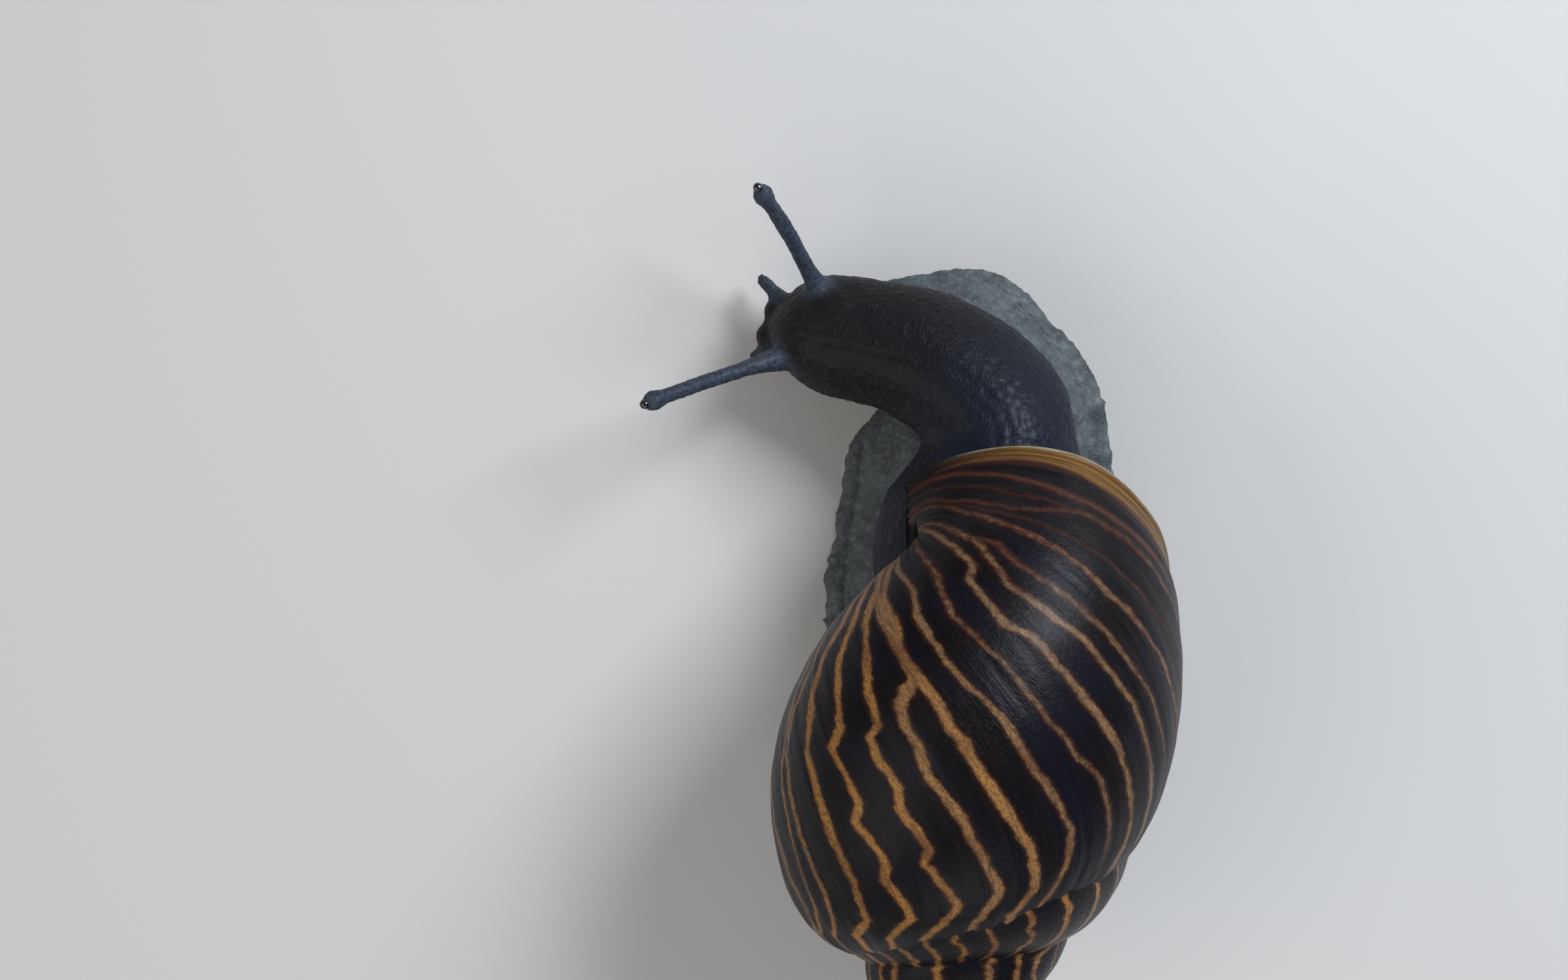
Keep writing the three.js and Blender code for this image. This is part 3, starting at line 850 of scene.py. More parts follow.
YOUNG_STRIPES = (
    near_lip(0.50, 0.12, 0.9, (95, -15), (120, -17), (141, -22), (154, -21), (165, -18.7), (181, -12.1)),
    near_lip(0.20, 0.15, 0.5, (100, -21), (130, -25), (150, -31), (166, -28), (181, -22)),
    near_lip(0.34, 0.22, 0.8, (70, -19), (120, -22.4), (133, -25.7), (145, -39), (154, -41), (166, -40),
             (180, -31)),
    near_lip(0.18, 0.15, 0.5, (60, -28), (110, -34), (130, -37), (150, -45), (166, -44), (182, -35)),
    near_lip(0.40, 0.34, 0.9, (60, -38), (110, -43), (129, -44.4), (143, -47.7), (155, -50), (181, -37.8)),
    near_lip(0.34, 0.30, 0.8, (60, -50), (115, -54.7), (129, -57.5), (138, -57), (147, -63.1), (168, -62.6)),
    near_lip(0.42, 0.42, 1.0, (40, -58), (80, -59), (103, -60.7), (116, -63.5), (124, -64.9), (139, -61.2),
             (154, -62.6)),
    near_lip(0.54, 0.50, 1.0, (40, -68), (70, -69), (89, -71), (103, -71.5), (109, -71.5), (114, -75.2),
             (129, -73.8), (134, -68.7), (155, -69.6)),
    near_lip(0.34, 0.32, 0.9, (38, -78), (57, -77.1), (67, -78), (77, -81.8), (87, -83.2), (105, -83.2),
             (121, -85.5), (136, -81.3), (153, -80.8)),
    near_lip(0.48, 0.55, 1.0, (25, -97), (45, -92), (55, -90.2), (65, -91.6), (76, -93.4), (94, -93.4),
             (106, -95.5), (125, -94.8), (134, -91.6), (147, -93.9)),
    near_lip(0.74, 0.74, 1.0, (24, -108), (38, -101.5), (57, -103.7), (66, -105.6), (77, -106.1),
             (87, -105.6), (92, -106.6), (100, -105.1), (110, -106.1), (117, -105.6), (125, -103.2),
             (136, -102.8), (158, -97)),
    near_lip(0.68, 0.66, 1.0, (24, -121), (40, -113.1), (52, -115.9), (71, -117.3), (79, -118.7),
             (89, -117.3), (97, -116.3), (102, -113.5), (105, -109.3), (107, -106.1)),
    near_lip(0.62, 0.86, 1.0, (17, -139.2), (36, -125.7), (45, -129), (55, -132.2), (60, -128.9),
             (68, -130.6), (73.5, -131.4), (79, -128.4), (87, -129.6), (94, -128.9), (97, -124.3),
             (106, -121.9), (116, -118.2), (128, -113.5), (141, -106.1), (160, -101)),
    near_lip(0.60, 1.00, 1.0, (22, -153.2), (33, -142), (41, -143.4), (51, -145.8), (58, -142.5),
             (66, -144.4), (71, -145.8), (77, -142.2), (84, -141.8), (93, -142.5), (99, -136),
             (108, -133.1), (120, -127.5), (131, -119.6), (150, -111)),
    near_lip(0.66, 1.00, 1.0, (26, -167.3), (35, -158.8), (52, -156.5), (65, -156.5), (75, -155.6),
             (93, -154.2), (101, -149), (111, -144.4), (121, -138), (133, -126), (150, -119)),
    near_lip(0.44, 0.72, 1.0, (25, -181), (37, -174), (48, -171.9), (73, -171), (94, -166.8), (109, -157.9),
             (122, -143.9), (136, -138.3), (155, -128)),
    near_lip(0.40, 0.70, 1.0, (25, -193), (40, -182), (62, -178), (84, -174.3), (94, -170.5), (109, -161.2),
             (124, -151.8), (140, -143)),
)


@dataclass
class StripePattern:
    """All the stripes of the shell, older ones seeded and the last turn's as they are on this animal.

    Angles are degrees, of growth or round the mouth oval, and lengths are millimetres.
    """

    pitch: float = 14.5
    oldest: float = -1880.0
    seed: int = 11
    joined: float = 0.12  # share of the older stripes that run into the next one
    join_width: float = 9.0
    slants: tuple[tuple[float, float, float], ...] = ((31, 84, 142), (9, 140, 185))  # gain, from, to
    suture_slant: float = 11.0
    kinks: tuple[float, ...] = (40, 57, 74, 96, 117, 138)
    widths_follow: float = 0.55  # power of the whorl's size that the widths go with
    thinner_at_base: float = 0.4
    reach: float = 50.0  # how far from its place a stripe can run

    def __post_init__(self) -> None:
        """Lays out the stripes."""
        self.stripes = list(YOUNG_STRIPES)
        rng = np.random.default_rng(self.seed)
        place = self.stripes[-1].place
        while place > self.oldest:
            place -= self.pitch * rng.uniform(0.8, 1.2)
            joins = rng.uniform(80, 115) if rng.random() < self.joined else 0.0
            half = rng.uniform(0.42, 0.78)
            self.stripes.append(Stripe(place, half, rng.uniform(0.5, 1), 1.0, rng.uniform(0.8, 4), joins))

    def centre(self, stripe: Stripe, phi: Array) -> Array:
        """Growth angle of a stripe's middle at places round the oval."""
        seed = int(-stripe.place * 10)
        waver = 0.45 * ripple(phi, 7.0, seed) + 0.32 * ripple(phi, 2.8, seed + 1)
        if stripe.course:
            places, angles = zip(*stripe.course)
            return np.interp(phi, places, angles) + waver
        line = stripe.place
        for gain, start, end in self.slants:
            line = line + gain * smoothstep(phi, start, end)
        shift = 2.2 * ripple(np.array([stripe.place]), 40, 5)[0]
        for index, kink in enumerate(self.kinks):
            size = stripe.jag * (1 + 0.5 * math.sin(1.9 * index + 0.01 * stripe.place))
            at = phi - kink - shift
            line = line + size * (smoothstep(at, -2.6, 2.6) - smoothstep(at, -9, 9))
            line = line - 0.35 * size * (smoothstep(at, -9, -2) - smoothstep(at, 2, 9))
        return line - self.suture_slant * smoothstep(-phi, -38, -20) + waver

    def field(self, spiral: Spiral, t: Array, phi: Array) -> Attributes:
        """What the shell's material needs to know of the stripes.

        Args:
            spiral: the shell's form.
            t: growth angle of each point.
            phi: place round the oval of each point.

        Returns:
            Millimetres inside the edge of the nearest stripe, and that stripe's gold and strength.
        """
        per_degree = math.pi / 180
        here = spiral.at(t, phi)
        speed_t = np.linalg.norm(spiral.at(t + STEP, phi) - here, axis=-1) / STEP * per_degree
        speed_p = np.linalg.norm(spiral.at(t, phi + STEP) - here, axis=-1) / STEP * per_degree
        degrees, round_degrees = np.degrees(t), np.degrees(phi)
        best = np.full(t.shape, NO_STRIPE)
        gold = np.full(t.shape, 0.8)
        strength = np.ones(t.shape)
        size = spiral.size(t) ** self.widths_follow
        table = np.linspace(-40, 330, 1481)
        thinner = 1 - self.thinner_at_base * smoothstep(table, 122, 172)
        for index, stripe in enumerate(self.stripes):
            if not degrees.min() - self.reach <= stripe.place <= degrees.max() + self.reach:
                continue
            line = self.centre(stripe, table)
            half = 1 + 0.24 * ripple(table, 9, 77 + index) + 0.12 * ripple(table, 3, 177 + index)
            half = stripe.half * half * thinner
            if stripe.joins:
                other = self.centre(self.stripes[index - 1], table)
                share = smoothstep(table, stripe.joins - self.join_width, stripe.joins)
                line = line + (other - line) * share
            slope = np.interp(round_degrees, table, np.gradient(line, table))
            off = np.abs(degrees - np.interp(round_degrees, table, line)) * speed_t
            lean = 1 / np.sqrt(1 + (slope * speed_t / np.maximum(speed_p, TINY)) ** 2)
            inside = np.interp(round_degrees, table, half) * size - off * lean
            nearer = inside > best
            best = np.where(nearer, inside, best)
            gold = np.where(nearer, stripe.gold, gold)
            fade = stripe.strength * np.ones(t.shape)
            if stripe.strength < 1:
                start = stripe.course[0][0]
                fade = fade * smoothstep(round_degrees, start - 10, start + 25)
            strength = np.where(nearer, fade, strength)
        return {"stripe": best, "gold": gold, "strength": strength}


@dataclass(frozen=True)
class Sculpture:
    """The relief of the shell's surface."""

    rib: float = 0.05
    wave: float = 0.075
    dent: float = 0.11
    small_dent: float = 0.035
    pleat: float = 0.13

    def height(self, spiral: Spiral, t: Array, phi: Array) -> Array:
        """Height of the relief in millimetres at each point."""
        along = spiral.length(t)
        size = spiral.size(t)
        around = phi * AROUND * size
        lean = 0.6 * ripple(around, 9, 21)
        ribs = self.rib * (ripple(along + lean, 1.25, 22) + 0.6 * ripple(along + lean, 0.9, 23))
        waves = self.wave * (ripple(along + lean, 3.1, 24) + 0.8 * ripple(along + 2 * lean, 6.3, 25))
        dents = 0.0
        for depth, length, width, seed in ((self.dent, 8, 7, 26), (self.small_dent, 2.1, 2.6, 27)):
            flat = np.stack([along / length, around / width, np.zeros_like(along)], -1).reshape(-1, 3)
            dents = dents + depth * cloud(flat, seed).reshape(t.shape)
        near_suture = smoothstep(-np.degrees(phi), -46, -28)
        pleats = self.pleat * near_suture * ripple(along, 1.5, 28)
        return (ribs + waves + dents + pleats) * np.minimum(1, size + 0.25)


class Piece(Enum):
    """Lengths of whorl: node, piece name, growth angles in turns, rings, points round, and dense stretch."""

    UPPER_SPIRE = ("shell_upper_spire", "whorl_upper_spire", -4.1, -3.0, 170, 100, (-20, 165))
    LOWER_SPIRE = ("shell_lower_spire", "whorl_lower_spire", -3.0, -2.0, 230, 120, (-20, 165))
    PENULTIMATE = ("shell_penultimate_whorl", "whorl_penultimate", -2.0, -1.0, 320, 150, (-20, 175))
    BODY = ("shell_body_whorl", "whorl_body", -1.0, None, 400, 215, (-15, 215))


@dataclass
class Shell:
    """The shell: four lengths of striped whorl, the tip and the lip."""

    spiral: Spiral = Spiral()
    sculpture: Sculpture = Sculpture()
    pattern: StripePattern = field(default_factory=StripePattern)
    dense_share: float = 0.86
    lip_flare: float = 0.28
    tip_radius: float = 2.7
    tip_turns: tuple[float, float] = (-5.2, -4.1)
    tip_voxel: float = 0.13
    tip_relief: float = 0.03

    def ring(self, count: int, dense: tuple[float, float]) -> Array:
        """Places round the oval, close together where it shows and sparse where whorls overlap."""
        low, high = (math.radians(value) for value in dense)
        close = int(count * self.dense_share)
        shown = np.linspace(low, high, close, endpoint=False)
        return np.concatenate([shown, np.linspace(high, low + TAU, count - close, endpoint=False)])

    def outward(self, t: Array, phi: Array) -> Array:
        """The surface's outward normal at each point."""
        forward = self.spiral.at(t + STEP, phi) - self.spiral.at(t - STEP, phi)
        about = self.spiral.at(t, phi + STEP) - self.spiral.at(t, phi - STEP)
        normal = unit(np.cross(about, forward))
        here = self.spiral.at(t, phi)
        return normal * np.sign(np.median(np.sum(normal * (here - here.mean(axis=1, keepdims=True)), -1)))

    def surface(self, t: Array, phi: Array) -> Array:
        """Points of the carved outer surface."""
        height = self.sculpture.height(self.spiral, t, phi)
        return self.spiral.at(t, phi) + self.outward(t, phi) * height[..., None]

    def marks(self, t: Array, phi: Array) -> Attributes:
        """The numbers that the shell's materials read."""
        made = self.pattern.field(self.spiral, t, phi)
        made["along"] = self.spiral.length(t)
        made["around"] = phi * AROUND * self.spiral.size(t)
        made["rim"] = -t * (self.spiral.oval_from_axis + self.spiral.oval_wide)
        return made

    @staticmethod
    def closed(name: str, rings: Array, marks: Attributes, material: bpy.types.Material) -> bpy.types.Object:
        """A closed piece through rings.

        Args:
            name: the piece's name.
            rings: its points, by ring and place.
            marks: numbers for the same points.
            material: its finish.

        Returns:
            The piece, with its own texture map.
        """
        piece = new_mesh(name, *tube(rings))
        piece.data.uv_layers.new(name="OFBake").data.foreach_set("uv", Shell.unwrapped(piece, rings))
        turn_out(piece)
        give(piece, {key: np.concatenate([of.ravel(), of[0, :1], of[-1, :1]]) for key, of in marks.items()})
        return finished(piece, material)

    @staticmethod
    def unwrapped(piece: bpy.types.Object, rings: Array) -> Array:
        """A texture map with the rings laid out flat beside the tube's two round ends.

        Args:
            piece: the piece, with its faces in the order of the rings.
            rings: its points, by ring and place.

        Returns:
            The two places on the map of each corner of each face, in one row.
        """
        edge, flat_width, end_at, end_radius = 0.01, 0.94, 0.975, 0.015
        rows, columns = rings.shape[:2]
        corners = read(piece.data.loops, "vertex_index", 1, np.int32)[:, 0]
        number = np.arange(len(corners))
        row, column = corners // columns, corners % columns
        end = number >= (rows - 1) * columns * 4
        closing = ~end & ((number // 4) % columns == columns - 1) & (column == 0)
        last = (row == rows - 1) | (corners == rows * columns + 1)
        angle = TAU * column / columns
        radius = np.where(corners >= rows * columns, 0.0, end_radius)
        u = np.where(end, end_at + radius * np.cos(angle), edge + flat_width * row / (rows - 1))
        v = np.where(closing, 1 - edge, edge + (1 - 2 * edge) * column / columns)
        v = np.where(end, np.where(last, 0.75, 0.25) + radius * np.sin(angle), v)
        return np.stack([u, v], -1).astype(np.float32).ravel()

    def whorl(self, kind: Piece, material: bpy.types.Material) -> bpy.types.Object:
        """One length of whorl; the last one turns in over its edge and runs back inside the mouth."""
        form = self.spiral
        node, name, start, end, rings, count, dense = kind.value
        last = -form.lip_band if end is None else end * TAU
        phi = self.ring(count, dense)
        outside = crossed(np.linspace(start * TAU, last, rings), phi)
        points = self.surface(*outside)
        marks = self.marks(*outside)
        if end is None:
            inside = crossed(np.linspace(last, -form.mouth_depth - 0.1, 26), phi)
            points = np.concatenate([points, form.at(*inside, -form.wall, form.columella)])
            inner_marks = self.marks(*inside)
            inner_marks["stripe"] = np.full(inside[0].shape, NO_STRIPE)
            marks = {key: np.concatenate([value, inner_marks[key]]) for key, value in marks.items()}
        piece = self.closed(name, points, marks, material)
        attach(piece, "root")
        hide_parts(node)
        return piece

    def lip(self, material: bpy.types.Material) -> bpy.types.Object:
        """The youngest shell: a band that rounds over at the mouth's edge and runs in again."""
        form, outer_rings, rim_rings, inner_rings = self.spiral, 12, 7, 9
        *_, count, dense = Piece.BODY.value
        phi = self.ring(count, dense)
        grid_t, grid_phi = crossed(np.linspace(-form.lip_band, 0, outer_rings), phi)
        flare = self.lip_flare * smoothstep(grid_t, -0.5 * form.lip_band, 0) * smoothstep(grid_phi, 0.3, 0.9)
        outer = self.surface(grid_t, grid_phi) + self.outward(grid_t, grid_phi) * flare[..., None]
        inner_t, inner_phi = crossed(np.linspace(0, -form.lip_band, inner_rings), phi)
        inner = form.at(inner_t, inner_phi, -form.wall, form.columella)
        at_lip = np.zeros((1, len(phi)))
        ahead = unit(form.at(at_lip + STEP, phi[None]) - form.at(at_lip, phi[None]))
        turn = np.linspace(0, math.pi, rim_rings + 2)[1:-1, None, None]
        halfway = (1 + np.cos(turn)) / 2
        rim = outer[-1:] * halfway + inner[:1] * (1 - halfway) + ahead * np.sin(turn) * form.wall / 2
        whole_t = np.concatenate([grid_t, np.repeat(at_lip, rim_rings, 0), inner_t])
        marks = self.marks(whole_t, np.repeat(phi[None], len(whole_t), 0))
        in_rim, in_mouth = np.linspace(0, 0.4, rim_rings), np.linspace(0.7, 1, inner_rings)
        inside = np.concatenate([np.zeros(outer_rings), in_rim, in_mouth])
        marks["inside"] = np.repeat(inside[:, None], len(phi), 1)
        piece = self.closed("mouth_lip", np.concatenate([outer, rim, inner]), marks, material)
        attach(piece, "root")
        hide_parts("shell_lip")
        return piece

    def tip(self, material: bpy.types.Material) -> bpy.types.Object:
        """The first whorls, wound out of a rounded bead."""
        form = self.spiral
        first, last = (turns * TAU for turns in self.tip_turns)
        wound = form.at(*crossed(np.linspace(first, last, 90), circle(48)))
        height = -form.oval_below_pole * form.size(first) - form.spire_drop
        angle, about = ball_angles(40, 60, 0.02)
        bead = ball(angle, about, self.tip_radius * (1 + 0.04 * np.cos(2 * angle + about)))
        piece = closed_mesh("shell_tip", wound, form.seated(bead + [0, 0, height]))
        remeshed(piece, self.tip_voxel)
        points = relax(points_of(piece), edges_of(piece), 5)
        move_points(piece, points)
        lumps = cloud((points - form.seated(np.zeros(3))) / 0.9, 31)
        move_points(piece, points + normals_of(piece) * self.tip_relief * lumps[:, None])
        finished(piece, material, 80)
        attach(piece, "root")
        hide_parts("shell_apex")
        return piece

    def build(self) -> list[bpy.types.Object]:
        """Builds all the shell's pieces, oldest first."""
        striped = StripedShell().make()
        made = [self.tip(ShellTip().make())]
        made += [self.whorl(kind, striped) for kind in Piece]
        made.append(self.lip(ShellLip().make()))
        return made


# ---------------------------------------------------------------- body
@dataclass
class BodyLine:
    """A length of body given by lines across it: left x, y, right x, y, low and top heights."""

    rows: list[tuple[float, float, float, float, float, float]]
    samples: int = 500
    at_once: int = 20000  # points that are located in one go

    def __post_init__(self) -> None:
        """Samples the line."""
        values = through(np.array(self.rows, float), np.linspace(0, len(self.rows) - 1, self.samples))
        left, right = (np.pad(values[:, at:at + 2], ((0, 0), (0, 1))) + ORIGIN for at in (0, 2))
        self.low, self.top = values[:, 4], values[:, 5]
        self.middle = (left + right) / 2
        self.half = (right - left) / 2
        self.way = lengths_along(self.middle)

    def locate(self, points: Array) -> tuple[Array, Array]:
        """Where points lie on the body, seen from above.

        Args:
            points: points of the skin.

        Returns:
            Length along the body, and place across it from -1 at the left edge to 1 at the right.
        """
        found = np.concatenate([
            np.argmin(((some[:, None, :2] - self.middle[None, :, :2]) ** 2).sum(-1), axis=1)
            for some in np.array_split(points, 1 + len(points) // self.at_once)
        ])
        offset = (points - self.middle[found])[:, :2]
        half = self.half[found][:, :2]
        width = np.linalg.norm(half, axis=1)
        across = (offset * half).sum(1) / width**2
        ahead = np.stack([-half[:, 1], half[:, 0]], -1) / width[:, None]
        return self.way[found] + (offset * ahead).sum(1), across


@dataclass(frozen=True)
class Feeler:
    """A tentacle: the points that it follows and whether it is one of the two long ones."""

    side: str
    upper: bool
    points: tuple[tuple[float, float, float], ...]
    root: float = 2.5
    shaft: float = 1.05
    knob: float = 1.45
    knob_at: float = 0.94
    lower_root: float = 1.3
    lower_tip: float = 0.8

    def path(self) -> Array:
        """Evenly spaced points along the feeler."""
        knots = np.array(self.points, float) + ORIGIN
        fine = through(knots, np.linspace(0, len(knots) - 1, 600))
        way = lengths_along(fine)
        even = np.linspace(0, way[-1], 90)
        return np.stack([np.interp(even, way, fine[:, axis]) for axis in range(3)], -1)

    def radius(self, share: Array) -> Array:
        """Radius at each share of its length."""
        if not self.upper:
            end = np.sqrt(np.maximum(0.03, 1 - (np.maximum(0, share - 0.75) / 0.25) ** 2))
            return (self.lower_root + (self.lower_tip - self.lower_root) * share) * end
        root = (self.root - self.shaft) * np.exp(-share * 9)
        knob = (self.knob - self.shaft) * hill(share, self.knob_at, 0.055)
        end = np.sqrt(np.maximum(0.35, 1 - (np.maximum(0, share - self.knob_at) / 0.075) ** 2))
        return (self.shaft + root + knob) * end

    def rings(self) -> Array:
        """Rings of points round the path."""
        path = self.path()
        ahead = unit(np.gradient(path, axis=0))
        side = unit(np.cross(ahead, [0, 0, 1.0]))
        up = np.cross(side, ahead)
        angle = circle(24)[None, :, None]
        radius = self.radius(np.linspace(0, 1, len(path)))[:, None, None]
        return path[:, None] + radius * (np.cos(angle) * side[:, None] + np.sin(angle) * up[:, None])


FOOT_ROWS = [
    (0.6, -78.4, 1.9, -78.4, 0, 1.3),
    (-3, -72.5, 5.2, -72.5, 0, 4.2),
    (-7.2, -61, 9.8, -61, 0, 7.2),
    (-11.2, -45, 14.6, -45, 0, 10.2),
    (-15, -27, 19.2, -27, 0, 12.2),
    (-17.8, -5, 22.8, -6, 0, 12.8),
    (-15.7, 9, 24.3, 11, 0, 12.4),
    (-14.5, 18, 22, 26, 0, 11.2),
    (-11.2, 22.4, 16.2, 35, 0, 9.8),
    (-9, 25.6, 6.5, 43, 0, 8.2),
    (-10.8, 28, -4.6, 43, 0, 6.8),
    (-15, 28.8, -12, 41.2, 0, 5.6),
    (-20, 30.2, -18.4, 41.2, 0, 4.6),
    (-23.2, 32.8, -22.4, 39.8, 0, 3.2),
    (-24.4, 35.7, -24.2, 37.1, 0, 1.4),
]
NECK_ROWS = [
    (-1, -22, 15, -23, 2, 8),
    (-8, -9, 20, -9, 2, 17),
    (-11, 3, 20.4, 4, 2, 24.5),
    (-9.6, 12.4, 18.8, 13, 2, 28),
    (-5, 19, 17, 20.6, 2, 28.9),
    (-4.8, 21.5, 15, 28.6, 2, 27.6),
    (-7.8, 23.6, 8.7, 35.8, 2, 25.4),
    (-10.8, 25, -0.5, 40.6, 2.2, 23.1),
    (-14.6, 25.9, -9, 42.5, 2.4, 20.8),
    (-19, 27, -16, 43.2, 2.8, 18.7),
    (-22.4, 29.3, -20.4, 42.4, 3.4, 16.8),
    (-24.7, 32.6, -23.6, 39.8, 4.6, 14),
    (-25.7, 35.3, -25.4, 37.2, 7.4, 10.6),
]
FEELERS = [
    Feeler("left", True, ((-22.6, 32.3, 12.4), (-32.6, 29.6, 18.2), (-38.2, 27.9, 21.8),
                          (-42.2, 26.6, 24.6))),
    Feeler("right", True, ((-18.2, 40.6, 12.8), (-21.8, 47.4, 18.6), (-23.8, 50.9, 22.2),
                           (-26.9, 55.6, 26.4))),
    Feeler("left", False, ((-23.6, 33.4, 7.2), (-26.4, 32.3, 5.6), (-28.4, 31.2, 4.4))),
    Feeler("right", False, ((-23, 39.3, 7.2), (-25.4, 41.2, 5.6), (-27, 43, 4.4))),
]
FLESH_NODES = [
    "foot_tail", "foot_rear", "foot_middle", "foot_front",
    "neck_root", "neck_rear", "neck_front", "head", "mantle_collar", "mouth_lobes",
    "left_upper_tentacle_root", "left_upper_tentacle_shaft", "left_upper_tentacle_knob",
    "right_upper_tentacle_root", "right_upper_tentacle_shaft", "right_upper_tentacle_knob",
    "left_lower_tentacle", "right_lower_tentacle",
]


@dataclass
class Flesh:
    """The whole soft body as one skin: foot, neck, head, feelers, mouth lobes and mantle."""

    shell: Shell
    foot: BodyLine = field(default_factory=lambda: BodyLine(FOOT_ROWS))
    neck: BodyLine = field(default_factory=lambda: BodyLine(NECK_ROWS))
    foot_edge: float = 2.2
    sole_share: float = 0.955
    voxel: float = 0.43
    block_voxel: float = 0.5
    clearance: float = 0.16
    mouth_at: tuple[float, float, float] = (-25.1, 36.3, 6.3)
    mouth_lobe: tuple[float, float, float] = (1.9, 2.1, 2.2)
    mouth_apart: float = 3.6
    mouth_heading: float = 163.0
    mantle_from: float = 0.5
    throat_depth: float = 0.1
    throat_fit: float = 1.6
    throat_taper: float = 0.35
    throat_goal: tuple[float, float, float] = (5.0, -2.0, 9.0)
    rim_share: float = 0.45  # of the foot's edge, how high its outermost line lies
    cell_gap: float = 0.42
    fine_cell: float = 0.85
    comb_from: float = 0.86  # place across the foot where its fringe begins
    ditch_at: float = 0.85  # and of the groove beside it
    groove_at: float = 0.085  # place across the neck of its two long grooves

    def foot_rings(self) -> Array:
        """Rings of the foot, each from its left rim over the back and home under the sole."""
        line = self.foot
        v = -np.cos(np.linspace(0, math.pi, 57))[None]
        top = line.top[:, None]
        edge = np.minimum(self.foot_edge, top * 0.7)
        hump = (top - edge) * np.cos(math.pi / 2 * np.minimum(1, np.abs(v) / 0.9)) ** 1.5
        height = edge * np.sqrt(np.maximum(0, 1 - np.abs(v) ** 7)) + hump
        height[:, [0, -1]] = edge * self.rim_share
        left, right = (
            1 + 0.022 * ripple(line.way, wide, seed) + 0.012 * ripple(line.way, narrow, seed + 1)
            for wide, narrow, seed in ((3.6, 1.7, 41), (3.9, 1.6, 43))
        )
        frill = np.where(v < 0, left[:, None], right[:, None])
        out = v * (1 + (frill - 1) * v**4)
        over = line.middle[:, None] + line.half[:, None] * out[..., None]
        over[..., 2] = height
        flat = np.linspace(self.sole_share, -self.sole_share, 9)
        sole = line.middle[:, None] + line.half[:, None] * flat[None, :, None]
        return np.concatenate([over, sole], axis=1)

    def neck_rings(self) -> Array:
        """Rings of the neck and head."""
        line = self.neck
        angle = circle(80)[None, :, None]
        up = np.array([0, 0, 0.5])
        tall = (line.top - line.low)[:, None, None] * up
        middle = line.middle[:, None] + (line.top + line.low)[:, None, None] * up
        return middle + line.half[:, None] * np.cos(angle) + tall * np.sin(angle)

    def mouth_rings(self) -> list[Array]:
        """Rings of the two soft lobes beside the mouth and of the bridge between them."""
        whole = ball(*ball_angles(24, 28, 0.05)) * np.array(self.mouth_lobe)
        spin = np.array(Matrix.Rotation(math.radians(self.mouth_heading), 3, "Z"))
        made = []
        for back, side, size in ((0, -1, 1.0), (0, 1, 1.0), (-0.5, 0, 0.82)):
            lobe = whole * size + [back, side * self.mouth_apart / 2, 0]
            made.append(lobe @ spin.T + np.array(self.mouth_at) + ORIGIN)
        return made

    def mantle_rings(self) -> Array:
        """Rings of the mantle, which fills the shell's mouth and rounds over behind the lip."""
        form = self.shell.spiral
        share, phi = crossed(np.linspace(self.mantle_from, 1, 14), circle(90))
        swell = -form.wall - 0.35 - 30 * np.maximum(0, share - 0.72) ** 2
        return form.at(-form.mouth_depth * (1 - share) - 0.012, phi, swell, form.columella)

    def throat_rings(self) -> Array:
        """Rings of the body where it comes out of the shell, from the mantle down into the neck."""
        form = self.shell.spiral
        phi = circle(90)
        at = np.full(phi.shape, -self.throat_depth)
        ring = form.at(at, phi, -form.wall - self.throat_fit, form.columella)
        middle = ring.mean(0)
        share = np.linspace(0, 1, 30)[:, None, None]
        goal = np.array(self.throat_goal) + ORIGIN
        return middle + (ring - middle) * (1 - self.throat_taper * share) + (goal - middle) * share

    def shell_block(self) -> bpy.types.Object:
        """The room that the shell takes, a little grown, with its mouth open."""
        form, grow, edge, phi = self.shell.spiral, self.clearance, 0.004, circle(96)
        outer = form.at(*crossed(np.linspace(-TAU, edge, 150), phi), grow)
        inside = crossed(np.linspace(edge, -form.mouth_depth, 22), phi)
        inner = form.at(*inside, -form.wall - grow, form.columella + grow)
        older = [
            form.at(*crossed(np.linspace(start * TAU, end * TAU, 90), phi), grow)
            for start, end in ((-2.05, -0.98), (-3.1, -1.95), (-4.2, -3.0))
        ]
        block = closed_mesh("shell_block", np.concatenate([outer, inner]), *older)
        remeshed(block, self.block_voxel)
        return block

    def raw(self) -> dict[str, list[Array]]:
        """The rings of each part of the body."""
        return {
            "foot": [self.foot_rings()],
            "neck": [self.neck_rings(), self.throat_rings()],
            "tentacle": [feeler.rings() for feeler in FEELERS],
            "mouth": self.mouth_rings(),
            "mantle": [self.mantle_rings()],
        }

    def regions(self, raw: dict[str, list[Array]], points: Array, edges: Array) -> Attributes:
        """How much each point belongs to each part of the body, 0 to 1."""
        closeness = {}
        for name, parts in raw.items():
            cloud_points = np.vstack([rings.reshape(-1, 3) for rings in parts])
            tree = kdtree.KDTree(len(cloud_points))
            for index, point in enumerate(cloud_points):
                tree.insert(point, index)
            tree.balance()
            gap = np.array([tree.find(point)[2] for point in points])
            closeness[name] = hill(gap, 0, 0.7) + 1e-6
        total = sum(closeness.values())
        return {name: spread(value / total, edges, 3) for name, value in closeness.items()}

